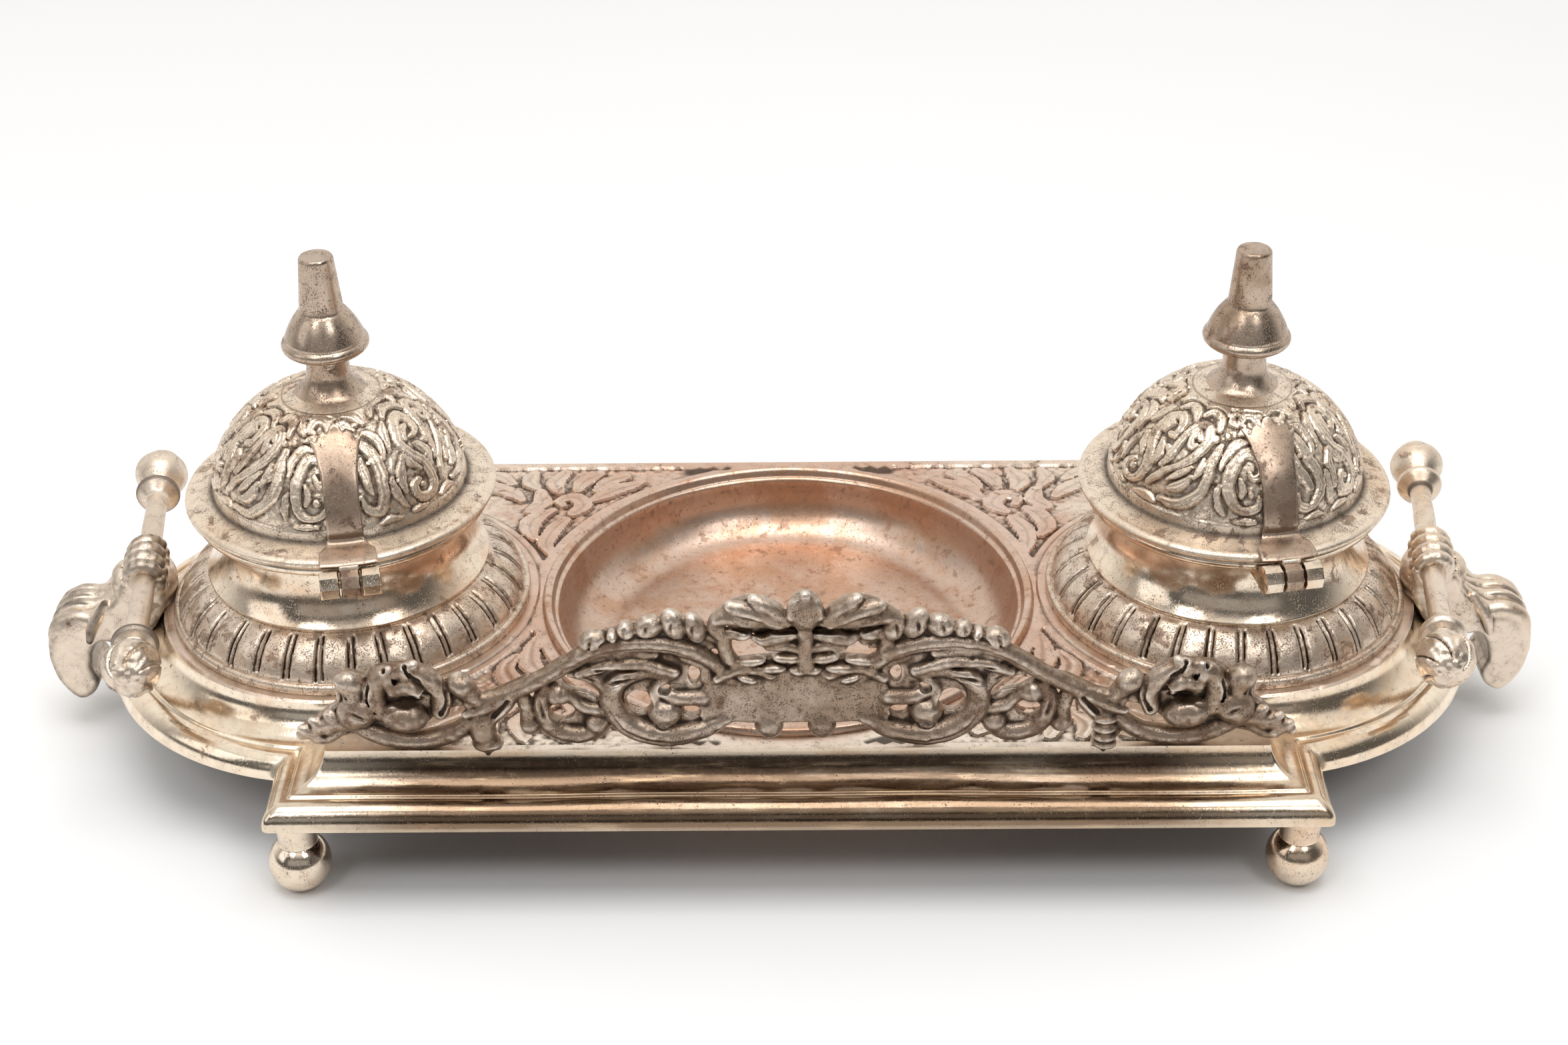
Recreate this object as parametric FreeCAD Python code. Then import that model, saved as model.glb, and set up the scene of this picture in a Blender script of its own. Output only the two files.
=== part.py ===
"""Double desk inkwell stand: a footed tray, two hinged-lid ink pots, a dish and a scroll gallery.

Millimetres. The origin is on the table under the middle of the tray. +X runs along the
tray to the right-hand pot, +Y to the writer's side, and -Y to the hinge and gallery side.
"""
import FreeCAD, Part
import math
import os

os.makedirs("parts", exist_ok=True)

# ---- driving dimensions -------------------------------------------------------------
POT_X = 90.0                # each pot's axis, left and right of the middle
POT_TURN = 11.0             # both pots are turned this far about their own axis, degrees
LOBE_R = 50.0               # rounded tray end, about the pot's axis
TRAY_HALF_X = 101.0         # rectangular middle of the tray
TRAY_HALF_Y = 65.5
TRAY_SHIFT = 1.8            # its middle was cast a little to the right of the pots' middle
TRAY_BOTTOM = 18.2
TRAY_TOP = 28.9
MOULD_W = 11.3              # moulding, from the outer edge in to the flat top
LOBE_WEAR = 0.2             # the round ends' step is worn back this far
SHELL = 2.0                 # thickness of the cast top
SEAT_R = 38.4               # raised seat under each pot
SEAT_H = 0.4
FOOT_X = 96.0               # from the middle of the rectangle
FOOT_Y = 58.0
BALL_R = 6.1
DISH_R = 50.7               # bead of the centre dish
POT_FOOT_R = 36.6
SKIRT_TOP = 38.6
NECK_R = 24.8
RIM_R = 29.8
POT_TOP = 54.5
LID_R = 31.1
LID_GAP = 0.3               # closed lid over the pot's rim
DOME_A = 25.3               # dome: half axes and the height of its widest plane
DOME_B = 22.4
DOME_Z = 56.4
DOME_T = 1.3
FINIAL_TOP = 106.6
HINGE_Y = -33.5             # hinge axis, in the pot's own turned frame
HINGE_Z = 53.0
KNUCKLE_R = 2.9
KNUCKLE_HALF = 5.85
TONGUE_HALF = 1.85
PIN_R = 0.85
BAR_X = 132.0               # handle bar's middle
BAR_Z = 36.6
BAR_R = 2.2
BAR_SPLAY = 7.5             # the bar's far end stands this far outwards, degrees
BAR_BALL_T = 37.3           # ball end, along the bar
BAR_BALL_R = 5.7
FIST_R = 5.2
ARM_HALF_Y = 6.5
GALLERY_X = 1.5             # the gallery was fitted a little to the right
CREST_S = 2.0               # its crest stands this far right of the scrollwork's middle
GALLERY_Y = -52.8
GALLERY_T = 2.6
LEG_S = 58.2                # gallery leg, left and right of the gallery's own middle
RUN_GAP = 0.05              # running clearance of the hinge
FUZZ = 1e-4                 # tolerance of the joins and cuts

SEAT_Z = TRAY_TOP + SEAT_H
LEG_Y = GALLERY_Y - 0.9


# ---- helpers ------------------------------------------------------------------------
def vec(x, y, z):
    return FreeCAD.Vector(x, y, z)


def edges_through(start, steps, place):
    """Edges from start along steps: (a, b) is a line, (ma, mb, a, b) an arc by way of (ma, mb)."""
    edges = []
    here = start
    for step in steps:
        end = step[-2:]
        if len(step) == 2:
            edges.append(Part.LineSegment(place(*here), place(*end)).toShape())
        else:
            edges.append(Part.Arc(place(*here), place(*step[:2]), place(*end)).toShape())
        here = end
    if math.dist(here, start) > 1e-6:
        edges.append(Part.LineSegment(place(*here), place(*start)).toShape())
    return edges


def outline(start, steps, place):
    return Part.Face(Part.Wire(edges_through(start, steps, place)))


def turned(start, *steps):
    """A solid of revolution about Z from an (r, z) outline."""
    face = outline(start, steps, lambda r, z: vec(r, 0, z))
    return face.revolve(vec(0, 0, 0), vec(0, 0, 1), 360)


def rod(radius, low, high, x=0.0, y=0.0):
    return Part.makeCylinder(radius, high - low, vec(x, y, low))


def hexagon(across, low, high, x=0.0, y=0.0):
    radius = across / math.sqrt(3)
    corners = [vec(x + radius * math.cos(math.radians(a)), y + radius * math.sin(math.radians(a)), low)
               for a in range(0, 361, 60)]
    return Part.Face(Part.makePolygon(corners)).extrude(vec(0, 0, high - low))


def joined(shapes):
    return shapes[0].fuse(shapes[1:], FUZZ).removeSplitter()


def mirrored_x(shape):
    return shape.mirror(vec(0, 0, 0), vec(1, 0, 0))


def save(name, shape):
    if isinstance(shape, Part.Compound) and len(shape.Solids) == 1:
        shape = shape.Solids[0]
    shape.exportStep("parts/" + name + ".step")
    print(name, shape.isValid(), len(shape.Solids), round(shape.Volume))


# ---- tray ---------------------------------------------------------------------------
def edge_steps(out, rise, wear=0.0):
    """The moulding, from its bottom edge up to the flat top: out(d) is the place d inside the edge."""
    return [(out(0), rise(0.6)),
            (out(1.1), rise(3.3), out(4.6 + wear), rise(4.5 - wear / 2)),
            (out(5.0 + wear), rise(5.0 - wear / 2)),
            (out(8.9), rise(6.3), out(MOULD_W), TRAY_TOP)]


def hollow_steps(out, rise, wear=0.0):
    """The hollow under the moulding, which keeps the casting about 2 mm thick."""
    return [(out(2.2), rise(1.2)), (out(5.2), rise(3.0)), (out(8.5), rise(4.3)),
            (out(MOULD_W + 1.5), TRAY_TOP - SHELL)]


def bar_of(half, steps_of, depth, place):
    """A straight length with the moulding on both long edges."""
    def rise(h):
        return TRAY_BOTTOM + h
    left = steps_of(lambda d: d - half, rise)
    right = steps_of(lambda d: half - d, rise)
    inner = 0 if steps_of is edge_steps else 2.2
    start = (inner - half, TRAY_BOTTOM)
    back = []
    ends = [(half - inner, TRAY_BOTTOM)] + [step[-2:] for step in right]
    for step, end in zip(reversed(right), reversed(ends[:-1])):
        back.append(step[:2] + end if len(step) == 4 else end)
    steps = left + [right[-1][-2:]] + back
    return outline(start, steps, place).extrude(depth)


def rectangle_of(steps_of):
    """Mitred at its corners: the two crossing lengths' common part."""
    along = bar_of(TRAY_HALF_Y, steps_of, vec(2 * TRAY_HALF_X, 0, 0),
                   lambda a, z: vec(-TRAY_HALF_X, a, z))
    across = bar_of(TRAY_HALF_X, steps_of, vec(0, 2 * TRAY_HALF_Y, 0),
                    lambda a, z: vec(a, -TRAY_HALF_Y, z))
    return along.common(across).translated(vec(TRAY_SHIFT, 0, 0))


def lobe_of(steps_of, x):
    def rise(h):
        return TRAY_BOTTOM + h
    steps = steps_of(lambda d: LOBE_R - d, rise, LOBE_WEAR)
    inner = 0 if steps_of is edge_steps else 2.2
    top = [(SEAT_R, SEAT_Z), (0, SEAT_Z)] if steps_of is edge_steps else [(0, TRAY_TOP - SHELL)]
    solid = turned((0, TRAY_BOTTOM), (LOBE_R - inner, TRAY_BOTTOM), *steps, *top)
    return solid.translated(vec(x, 0, 0))


FEET = [(TRAY_SHIFT + sx * FOOT_X, sy * FOOT_Y) for sx in (-1, 1) for sy in (-1, 1)]
BRACKET_SCREW_X = 131.5


def tray_block():
    """The tray's outside, filled in."""
    return joined([rectangle_of(edge_steps), lobe_of(edge_steps, -POT_X), lobe_of(edge_steps, POT_X)])


def base_tray(block):
    hollow = joined([rectangle_of(hollow_steps), lobe_of(hollow_steps, -POT_X), lobe_of(hollow_steps, POT_X)])
    bosses = [rod(5.0, TRAY_BOTTOM, TRAY_TOP, x, y) for x, y in FEET]
    bosses += [rod(4.0, TRAY_BOTTOM + 2.0, TRAY_TOP, sx * BRACKET_SCREW_X) for sx in (-1, 1)]
    tray = block.cut([hollow], FUZZ).fuse([boss.common([block], FUZZ) for boss in bosses], FUZZ)
    holes = [rod(DISH_R - 1.6, 0, 40)]
    holes += [rod(1.5, 0, 23.6, x, y) for x, y in FEET]
    holes += [rod(2.2, 0, 40, sx * POT_X) for sx in (-1, 1)]
    holes += [rod(1.6, 0, 40, sx * BRACKET_SCREW_X) for sx in (-1, 1)]
    holes += [rod(2.2, 0, 40, GALLERY_X + s * LEG_S, LEG_Y) for s in (-1, 1)]
    return tray.cut(holes, FUZZ).removeSplitter()


def centre_dish():
    """A spun bowl whose bead rests on the tray."""
    return turned((0, 16.6), (24.0, 16.6), (39.5, 17.6, 46.6, 23.8), (47.3, 24.9), (47.9, 25.4),
                  (47.9, 29.2), (49.4, 30.4, DISH_R, TRAY_TOP), (48.9, TRAY_TOP), (48.9, 24.6),
                  (47.6, 23.6), (40.3, 16.3, 24.0, 15.2), (0, 15.2))


def foot(x, y):
    """A ball foot with a flaring neck and a stud that screws into the tray."""
    shape = turned((0, 0), (1.6, 0), (BALL_R, 5.9, 3.8, 10.6), (4.0, 14.0, 4.9, TRAY_BOTTOM),
                   (1.45, TRAY_BOTTOM), (1.45, 23.0), (0, 23.0))
    return shape.translated(vec(x, y, 0))


# ---- ink pots, in the frame of a pot on the Z axis ------------------------------------
def pot_skirt():
    """Raised ring with a bulging shoulder, which carries the flutes."""
    return turned((33.4, SEAT_Z), (POT_FOOT_R, SEAT_Z), (POT_FOOT_R, 30.5), (36.3, 31.1, 35.4, 31.2),
                  (33.0, 35.5, 28.4, SKIRT_TOP), (26.6, SKIRT_TOP), (26.6, 37.3), (31.4, 34.2),
                  (33.4, 30.8))


def pot_body():
    """Spun cup: floor, waisted neck and a rolled rim with a rebate for the liner."""
    cup = turned((0, SEAT_Z), (26.2, SEAT_Z), (26.2, SKIRT_TOP), (28.4, SKIRT_TOP), (28.6, 39.3),
                 (25.7, 43.6, NECK_R, 49.8), (25.8, 51.9, 29.1, 52.3), (RIM_R, 53.4, 29.1, POT_TOP),
                 (25.4, POT_TOP), (25.4, 53.2), (23.4, 53.2), (23.4, SEAT_Z + 2), (0, SEAT_Z + 2))
    return cup.cut(rod(2.1, 0, 40))


def pot_bolt():
    """Dome-headed bolt through the pot's floor and the tray."""
    floor = SEAT_Z + 2
    return turned((0, 23.4), (2.0, 23.4), (2.0, floor), (5.0, floor), (4.0, floor + 1.4, 1.0, floor + 2.0),
                  (0, floor + 2.0))


def pot_nut():
    return hexagon(7.0, TRAY_TOP - SHELL - 3.0, TRAY_TOP - SHELL).cut(rod(2.05, 0, 40))


def ink_liner():
    """Glass cup that hangs by its flange in the pot's rim."""
    return turned((0, 34.3), (21.3, 34.3), (22.5, 34.8, 23.0, 36.0), (23.0, 53.2), (25.2, 53.2),
                  (25.2, 54.0), (25.0, 54.35, 24.6, 54.4), (21.4, 54.4), (20.9, 54.2, 20.8, 53.6),
                  (20.8, 38.2), (20.3, 37.1, 19.2, 36.6), (0, 36.6))


def hinge_knuckles():
    """Two rolled knuckles, each with a leaf that is soldered under the pot's rim."""
    parts = []
    for side in (-1, 1):
        low = TONGUE_HALF + 0.3 if side > 0 else -KNUCKLE_HALF
        length = KNUCKLE_HALF - TONGUE_HALF - 0.3
        barrel = Part.makeCylinder(KNUCKLE_R, length, vec(low, HINGE_Y, HINGE_Z), vec(1, 0, 0))
        leaf = Part.makeBox(length, 8.0, 2.4, vec(low, HINGE_Y, HINGE_Z - 2.2))
        bore = Part.makeCylinder(PIN_R, length, vec(low, HINGE_Y, HINGE_Z), vec(1, 0, 0))
        parts.append(barrel.fuse(leaf).cut(bore).removeSplitter())
    return Part.makeCompound(parts)


def hinge_pin():
    return Part.makeCylinder(PIN_R, 2 * KNUCKLE_HALF, vec(-KNUCKLE_HALF, HINGE_Y, HINGE_Z), vec(1, 0, 0))


# ---- lid, in the same frame ---------------------------------------------------------
def dome_point(degrees, grow=0.0):
    t = math.radians(degrees)
    return ((DOME_A + grow) * math.cos(t), DOME_Z + (DOME_B + grow) * math.sin(t))


def dome_steps(first, grow, angles=(26, 46, 68, 90)):
    """The dome's outline as two arcs, from the point at angle first to its top."""
    steps = [dome_point(first, grow)]
    steps.append(dome_point(angles[0], grow) + dome_point(angles[1], grow))
    steps.append(dome_point(angles[2], grow) + dome_point(angles[3], grow))
    return steps


def lid_block(grow):
    """The lid's outside, filled in, and grown outwards by grow."""
    low = POT_TOP + LID_GAP
    return turned((0, low), (30.2 + grow, low), (LID_R + grow, low + 0.8, 30.6 + grow, 56.4 + grow),
                  (27.6, 56.9 + grow) + dome_point(7, grow), *dome_steps(7, grow)[1:])


def lid_dome():
    low = POT_TOP + LID_GAP
    inside = turned((0, low - 1), (DOME_A - DOME_T, low - 1), dome_point(4, -DOME_T),
                    *dome_steps(4, -DOME_T)[1:])
    return lid_block(0).cut(inside).cut(rod(2.1, 60, 90))


def lid_finial(block):
    """Turned finial with a bell-shaped collar, a tapered knob and a stud through the dome."""
    shape = turned((0, 70.5), (2.0, 70.5), (2.0, 76.0), (8.8, 76.0), (8.8, 77.9), (5.6, 79.4, 4.45, 83.0),
                   (4.45, 84.2), (5.6, 85.1, 7.5, 85.9), (8.6, 87.6, 8.4, 89.6), (7.6, 92.6, 5.9, 94.0),
                   (5.7, 95.4), (4.3, 96.2, 4.0, 97.4), (3.3, FINIAL_TOP - 0.5), (2.8, FINIAL_TOP),
                   (0, FINIAL_TOP))
    stud = rod(2.0, 70.5, 80)
    return shape.cut(block).fuse(stud).removeSplitter()


def finial_nut():
    top = dome_point(90, -DOME_T)[1] - 0.3
    return hexagon(6.5, top - 2.6, top).cut(rod(2.05, 0, 90))


def hinge_strap(block):
    """Waisted strap that hugs the lid, with a crown tip, and the middle knuckle at its end."""
    shell = lid_block(1.0).cut(block)
    plan = [(-5.5, -32.6), (-5.3, -29.6), (-3.7, -25.6, -3.9, -21.0), (-4.9, -17.0), (-3.6, -16.2),
            (-2.0, -16.8), (0.0, -13.6), (2.0, -16.8), (3.6, -16.2), (4.9, -17.0), (3.9, -21.0),
            (3.7, -25.6, 5.3, -29.6), (5.5, -32.6)]
    strap = outline(plan[0], plan[1:], lambda x, y: vec(x, y, 55.9)).extrude(vec(0, 0, 30))
    clear = Part.makeCylinder(KNUCKLE_R + LID_GAP, 20, vec(-10, HINGE_Y, HINGE_Z), vec(1, 0, 0))
    plate = shell.common(strap).cut(clear)
    half = TONGUE_HALF
    tongue = Part.makeCylinder(KNUCKLE_R, 2 * half, vec(-half, HINGE_Y, HINGE_Z), vec(1, 0, 0))
    web = Part.makeBox(2 * half, 2.6, 3.9, vec(-half, HINGE_Y, HINGE_Z)).cut(block)
    bore = Part.makeCylinder(PIN_R + RUN_GAP, 20, vec(-10, HINGE_Y, HINGE_Z), vec(1, 0, 0))
    return joined([plate, tongue, web]).cut(bore)


# ---- handles, drawn for the right-hand end --------------------------------------------
def along_bar(shape):
    """Stand a shape made about the Z axis along the bar, +Z towards the writer's side."""
    shape = shape.copy()
    shape.rotate(vec(0, 0, 0), vec(1, 0, 0), -90)
    shape.rotate(vec(0, 0, 0), vec(0, 0, 1), -BAR_SPLAY)
    shape.translate(vec(BAR_X, 0, BAR_Z))
    return shape


def handle_bar():
    """Round bar with a moulded collar near each end and a spigot for each ball."""
    half = [(0, 0), (BAR_R, 0), (BAR_R, 26.0), (2.9, 27.0), (4.3, 28.6), (4.6, 29.4, 4.3, 30.2),
            (2.6, 31.0), (2.6, 31.8), (1.5, 31.8), (1.5, 35.5), (0, 35.5)]
    end = turned(half[0], *half[1:])
    other = end.mirror(vec(0, 0, 0), vec(0, 0, 1))
    return along_bar(end.fuse(other).removeSplitter())


def bar_ball(side):
    """Ball end with a short neck, bored for the spigot."""
    def height_at(r):
        return math.sqrt(BAR_BALL_R ** 2 - r ** 2)
    low = BAR_BALL_T - height_at(3.3)
    top = BAR_BALL_T + height_at(0.5)
    ball = turned((1.55, low - 0.7), (2.7, low - 0.7), (3.3, low), (BAR_BALL_R, BAR_BALL_T, 0.5, top),
                  (0, top), (0, 35.6), (1.55, 35.6))
    if side < 0:
        ball = ball.mirror(vec(0, 0, 0), vec(0, 0, 1))
    return along_bar(ball)


def fist():
    """Three knuckle ribs round the bar."""
    ribs = [turned((0, t - 2.6), (3.9, t - 2.6), (4.3, t - 2.2), (FIST_R + 0.6, t, 4.3, t + 2.2),
                   (3.9, t + 2.6), (0, t + 2.6)) for t in (-4.4, 0.0, 4.4)]
    return along_bar(joined(ribs))


def handle_bracket(block):
    """Cast scroll that reaches over the tray's edge, with a fist that holds the bar."""
    side = [(129.0, 24.0), (141.0, 22.0), (142.6, 20.6), (145.2, 16.5, 143.6, 11.8),
            (145.6, 8.4, 149.4, 6.8), (153.4, 12.0, 154.0, 19.0), (152.0, 25.6, 146.6, 28.0),
            (141.2, 29.6, 137.4, 33.6), (136.0, 37.0), (128.6, 36.0), (127.6, 33.0),
            (126.9, 30.6, 128.4, 27.4)]
    arm = outline(side[0], side[1:], lambda x, z: vec(x, -ARM_HALF_Y, z)).extrude(vec(0, 2 * ARM_HALF_Y, 0))
    bore = along_bar(rod(BAR_R + 0.05, -20, 20))
    screw = rod(1.45, 0, 31.0, BRACKET_SCREW_X)
    return arm.fuse(fist()).cut(block).cut(bore).cut(screw).removeSplitter()


def bracket_screw(x):
    """Pan-head screw up through the tray into the bracket."""
    low = TRAY_BOTTOM + 2.0
    return rod(1.4, low, 30.6, x).fuse(rod(2.9, low - 1.6, low, x)).removeSplitter()


# ---- gallery: flat shapes in its own plane, s along it and h up from the tray ------------
def in_plane(s, h):
    return vec(GALLERY_X + s, GALLERY_Y - GALLERY_T / 2, TRAY_TOP + h)


def raised(face):
    return face.extrude(vec(0, GALLERY_T, 0))


def blob(s, h, radius):
    circle = Part.Circle(in_plane(s, h), vec(0, 1, 0), radius)
    return raised(Part.Face(Part.Wire(circle.toShape())))


def ring(s, h, radius, width):
    return blob(s, h, radius + width / 2).cut(blob(s, h, radius - width / 2))


def leaf(*points):
    return raised(outline(points[0], points[1:], in_plane))


def stem(start, via, end, width):
    """A curved band of even width with round ends, through three points."""
    arc = Part.Arc(in_plane(*start), in_plane(*via), in_plane(*end))
    mid = arc.toShape().Curve.Center
    spread = []
    for grow in (width / 2, -width / 2):
        points = []
        for s, h in (start, via, end):
            out = in_plane(s, h).sub(mid)
            points.append(mid + out * ((out.Length + grow) / out.Length))
        spread.append(points)
    outer, inner = spread
    edges = [Part.Arc(*outer).toShape(), Part.LineSegment(outer[2], inner[2]).toShape(),
             Part.Arc(*reversed(inner)).toShape(), Part.LineSegment(inner[0], outer[0]).toShape()]
    band = raised(Part.Face(Part.Wire(edges)))
    return band.fuse([blob(*start, width / 2), blob(*end, width / 2)])


def gallery_half():
    """The right-hand half of the scrollwork."""
    return [
        stem((14.6, 15.0), (27.6, 24.0), (41.0, 20.6), 3.6),        # arch over the large scroll
        stem((40.0, 21.0), (50.0, 16.6), (59.5, 11.6), 3.0),        # falling stem
        stem((58.0, 12.4), (71.0, 2.4), (84.0, 5.2), 2.8),          # its upturned end
        ring(25.0, 11.2, 8.6, 3.6),                                 # large C scroll
        blob(23.2, 9.8, 5.4),                                       # its eye
        leaf((16.0, 13.0), (17.6, 19.4), (28.0, 22.6), (37.4, 20.4), (35.4, 14.6), (27.0, 17.8)),
        ring(43.6, 8.0, 4.8, 2.6),                                  # small C scroll
        blob(46.4, 12.4, 2.9),
        blob(37.2, 6.4, 2.2),
        blob(48.8, 14.0, 2.2),
        stem((51.8, 5.6), (52.4, 9.4), (53.6, 13.4), 3.4),
        leaf((17.4, 21.0), (16.4, 26.0), (20.4, 29.8), (24.4, 29.6), (26.6, 28.4), (33.6, 28.0),
             (34.8, 25.8), (40.4, 25.2), (40.8, 21.2), (28.0, 22.4)),
        blob(73.6, 13.4, 5.2),                                      # rosette
        blob(72.8, 7.4, 4.4),
        blob(66.4, 10.2, 3.2),
        blob(64.4, 13.0, 2.9),
        blob(79.6, 9.0, 3.8),
        blob(84.2, 12.8, 3.6),
        blob(84.0, 7.2, 3.6),
        stem((84.0, 6.0), (89.6, 5.6), (94.0, 3.0), 4.2),           # end leaf
        blob(5.0, 4.9, 2.5),                                        # pendant nubs
    ]


def crest_half():
    return [
        stem((11.0, 19.0), (15.0, 22.2), (14.6, 28.0), 3.0),        # bracket
        stem((4.4, 27.4), (9.4, 31.4), (14.8, 28.2), 4.6),          # curled leaf
    ]


def gallery():
    """One cast, pierced plate with two threaded legs that drop through the tray."""
    across = vec(GALLERY_X, 0, 0)

    def both(half):
        return half + [shape.mirror(across, vec(1, 0, 0)) for shape in half]

    panel = leaf((-18.0, 6.0), (-20.0, 9.6), (-15.0, 16.4), (-8.0, 18.4), (8.0, 18.4), (15.0, 16.4),
                 (20.0, 9.6), (18.0, 6.0))
    crest = both(crest_half()) + [
        leaf((-12.0, 17.6), (-12.0, 21.4), (12.0, 21.4), (12.0, 17.6)),
        leaf((-1.7, 20.0), (-2.0, 27.0), (2.0, 27.0), (1.7, 20.0)),
        leaf((0.0, 26.0), (-3.9, 31.6), (-2.8, 34.6, 0.0, 36.2), (2.8, 34.6, 3.9, 31.6)),
        leaf((-5.0, 25.4), (-5.0, 28.4), (5.0, 28.4), (5.0, 25.4)),
    ]
    crest = [shape.translated(vec(CREST_S, 0, 0)) for shape in crest]
    legs = []
    for side in (-1, 1):
        x = GALLERY_X + side * LEG_S
        legs.append(rod(2.0, TRAY_TOP, TRAY_TOP + 9.0, x, LEG_Y))
        legs.append(rod(1.6, TRAY_BOTTOM + 1.0, TRAY_TOP + 1.0, x, LEG_Y))
    return joined([panel] + both(gallery_half()) + crest + legs)


def gallery_nuts():
    """Nuts on the gallery's legs, under the tray."""
    low = TRAY_BOTTOM + 1.8
    nuts = [hexagon(5.6, low, low + 2.4, GALLERY_X + side * LEG_S, LEG_Y).cut(
        rod(1.65, 0, 40, GALLERY_X + side * LEG_S, LEG_Y)) for side in (-1, 1)]
    return Part.makeCompound(nuts)


# ---- assembly -----------------------------------------------------------------------
def on_tray(shape, x):
    """Turn a pot's piece about its own axis and stand it at its place on the tray."""
    shape = shape.copy()
    shape.rotate(vec(0, 0, 0), vec(0, 0, 1), POT_TURN)
    shape.translate(vec(x, 0, 0))
    return shape


BLOCK = tray_block()
save("base_tray", base_tray(BLOCK))
save("centre_dish", centre_dish())
for foot_x, foot_y in FEET:
    where = ("left" if foot_x < 0 else "right") + ("_rear" if foot_y < 0 else "_front")
    save("foot_" + where, foot(foot_x, foot_y))
save("gallery", gallery())
save("gallery_nuts", gallery_nuts())

LID = lid_block(0)
POT_PIECES = {
    "pot_skirt": pot_skirt(),
    "pot_body": pot_body(),
    "pot_bolt": pot_bolt(),
    "pot_nut": pot_nut(),
    "ink_liner": ink_liner(),
    "hinge_knuckles": hinge_knuckles().cut(pot_body()),
    "hinge_pin": hinge_pin(),
    "lid_dome": lid_dome(),
    "lid_finial": lid_finial(LID),
    "finial_nut": finial_nut(),
    "hinge_strap": hinge_strap(LID),
}
HANDLE_PIECES = {
    "handle_bracket": handle_bracket(BLOCK),
    "handle_bar": handle_bar(),
    "bar_ball_front": bar_ball(1),
    "bar_ball_rear": bar_ball(-1),
}
for side_name, side in (("left", -1), ("right", 1)):
    for piece, shape in POT_PIECES.items():
        save(side_name + "_" + piece, on_tray(shape, side * POT_X))
    for piece, shape in HANDLE_PIECES.items():
        save(side_name + "_" + piece, shape if side > 0 else mirrored_x(shape))
save("bracket_screws", Part.makeCompound([bracket_screw(sx * BRACKET_SCREW_X) for sx in (-1, 1)]))
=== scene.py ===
"""Looks of the double desk inkwell stand: worn silver plate over brass, on a pale studio floor.

Shapes are worked out in millimetres, in the frame of the CAD part, and made in metres.
The hinges and the gallery are on the -Y side, towards the camera.
"""

import math
from itertools import product

import bmesh
import bpy
import numpy as np
import openvdb
from mathutils import Matrix, Vector
from mathutils.geometry import delaunay_2d_cdt


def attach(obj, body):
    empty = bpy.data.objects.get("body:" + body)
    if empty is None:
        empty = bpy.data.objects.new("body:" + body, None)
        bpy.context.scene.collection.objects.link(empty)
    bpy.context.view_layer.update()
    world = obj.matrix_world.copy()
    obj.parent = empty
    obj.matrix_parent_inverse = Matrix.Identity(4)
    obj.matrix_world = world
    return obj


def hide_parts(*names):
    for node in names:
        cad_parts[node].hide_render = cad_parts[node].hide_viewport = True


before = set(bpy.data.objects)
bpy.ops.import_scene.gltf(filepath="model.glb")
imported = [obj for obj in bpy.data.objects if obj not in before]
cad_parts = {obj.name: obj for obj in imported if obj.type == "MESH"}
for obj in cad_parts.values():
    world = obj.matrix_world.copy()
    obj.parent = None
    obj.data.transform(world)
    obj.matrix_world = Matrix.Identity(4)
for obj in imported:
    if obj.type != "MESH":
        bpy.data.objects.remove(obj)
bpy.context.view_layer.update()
MM = 0.001

# ---- driving dimensions, mm, as in the CAD part ------------------------------------------
POT_X = 90.0
POT_TURN = math.radians(11.0)
LOBE_R = 50.0
TRAY_HALF_X = 101.0
TRAY_HALF_Y = 65.5
TRAY_SHIFT = 1.8
TRAY_BOTTOM = 18.2
TRAY_TOP = 28.9
MOULD_W = 11.3
SHELL = 2.0
SEAT_R = 38.4
SEAT_Z = 29.3
DISH_R = 50.7
DISH_HOLE_R = 49.1
FOOT_X = 96.0
FOOT_Y = 58.0
BALL_R = 6.1
POT_FOOT_R = 36.6
SKIRT_TOP = 38.6
NECK_R = 24.8
RIM_R = 29.8
POT_TOP = 54.5
LID_R = 31.1
LID_LOW = 54.8
DOME_A = 25.3
DOME_B = 22.4
DOME_Z = 56.4
DOME_T = 1.3
FINIAL_TOP = 106.6
HINGE_Y = -33.5
HINGE_Z = 53.0
KNUCKLE_R = 2.9
KNUCKLE_HALF = 5.85
TONGUE_HALF = 1.85
BAR_X = 132.0
BAR_Z = 36.6
BAR_SPLAY = math.radians(7.5)
BAR_BALL_T = 37.3
GALLERY_X = 1.5
GALLERY_Y = -52.8
LEG_S = 58.2
SIDES = (("left", -1), ("right", 1))


# ---- outlines ----------------------------------------------------------------------------
def arc_points(a, via, b, count):
    """count points on the circle from a by way of via to b, leaving out a."""
    (ax, ay), (bx, by), (cx, cy) = a, via, b
    d = 2 * (ax * (by - cy) + bx * (cy - ay) + cx * (ay - by))
    sa, sb, sc = ax * ax + ay * ay, bx * bx + by * by, cx * cx + cy * cy
    ox = (sa * (by - cy) + sb * (cy - ay) + sc * (ay - by)) / d
    oy = (sa * (cx - bx) + sb * (ax - cx) + sc * (bx - ax)) / d
    radius = math.hypot(ax - ox, ay - oy)
    start = math.atan2(ay - oy, ax - ox)
    mid = (math.atan2(by - oy, bx - ox) - start) % (2 * math.pi)
    end = (math.atan2(cy - oy, cx - ox) - start) % (2 * math.pi)
    if mid > end:
        end -= 2 * math.pi
    turns = [start + end * i / count for i in range(1, count + 1)]
    return [(ox + radius * math.cos(t), oy + radius * math.sin(t)) for t in turns]


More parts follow.
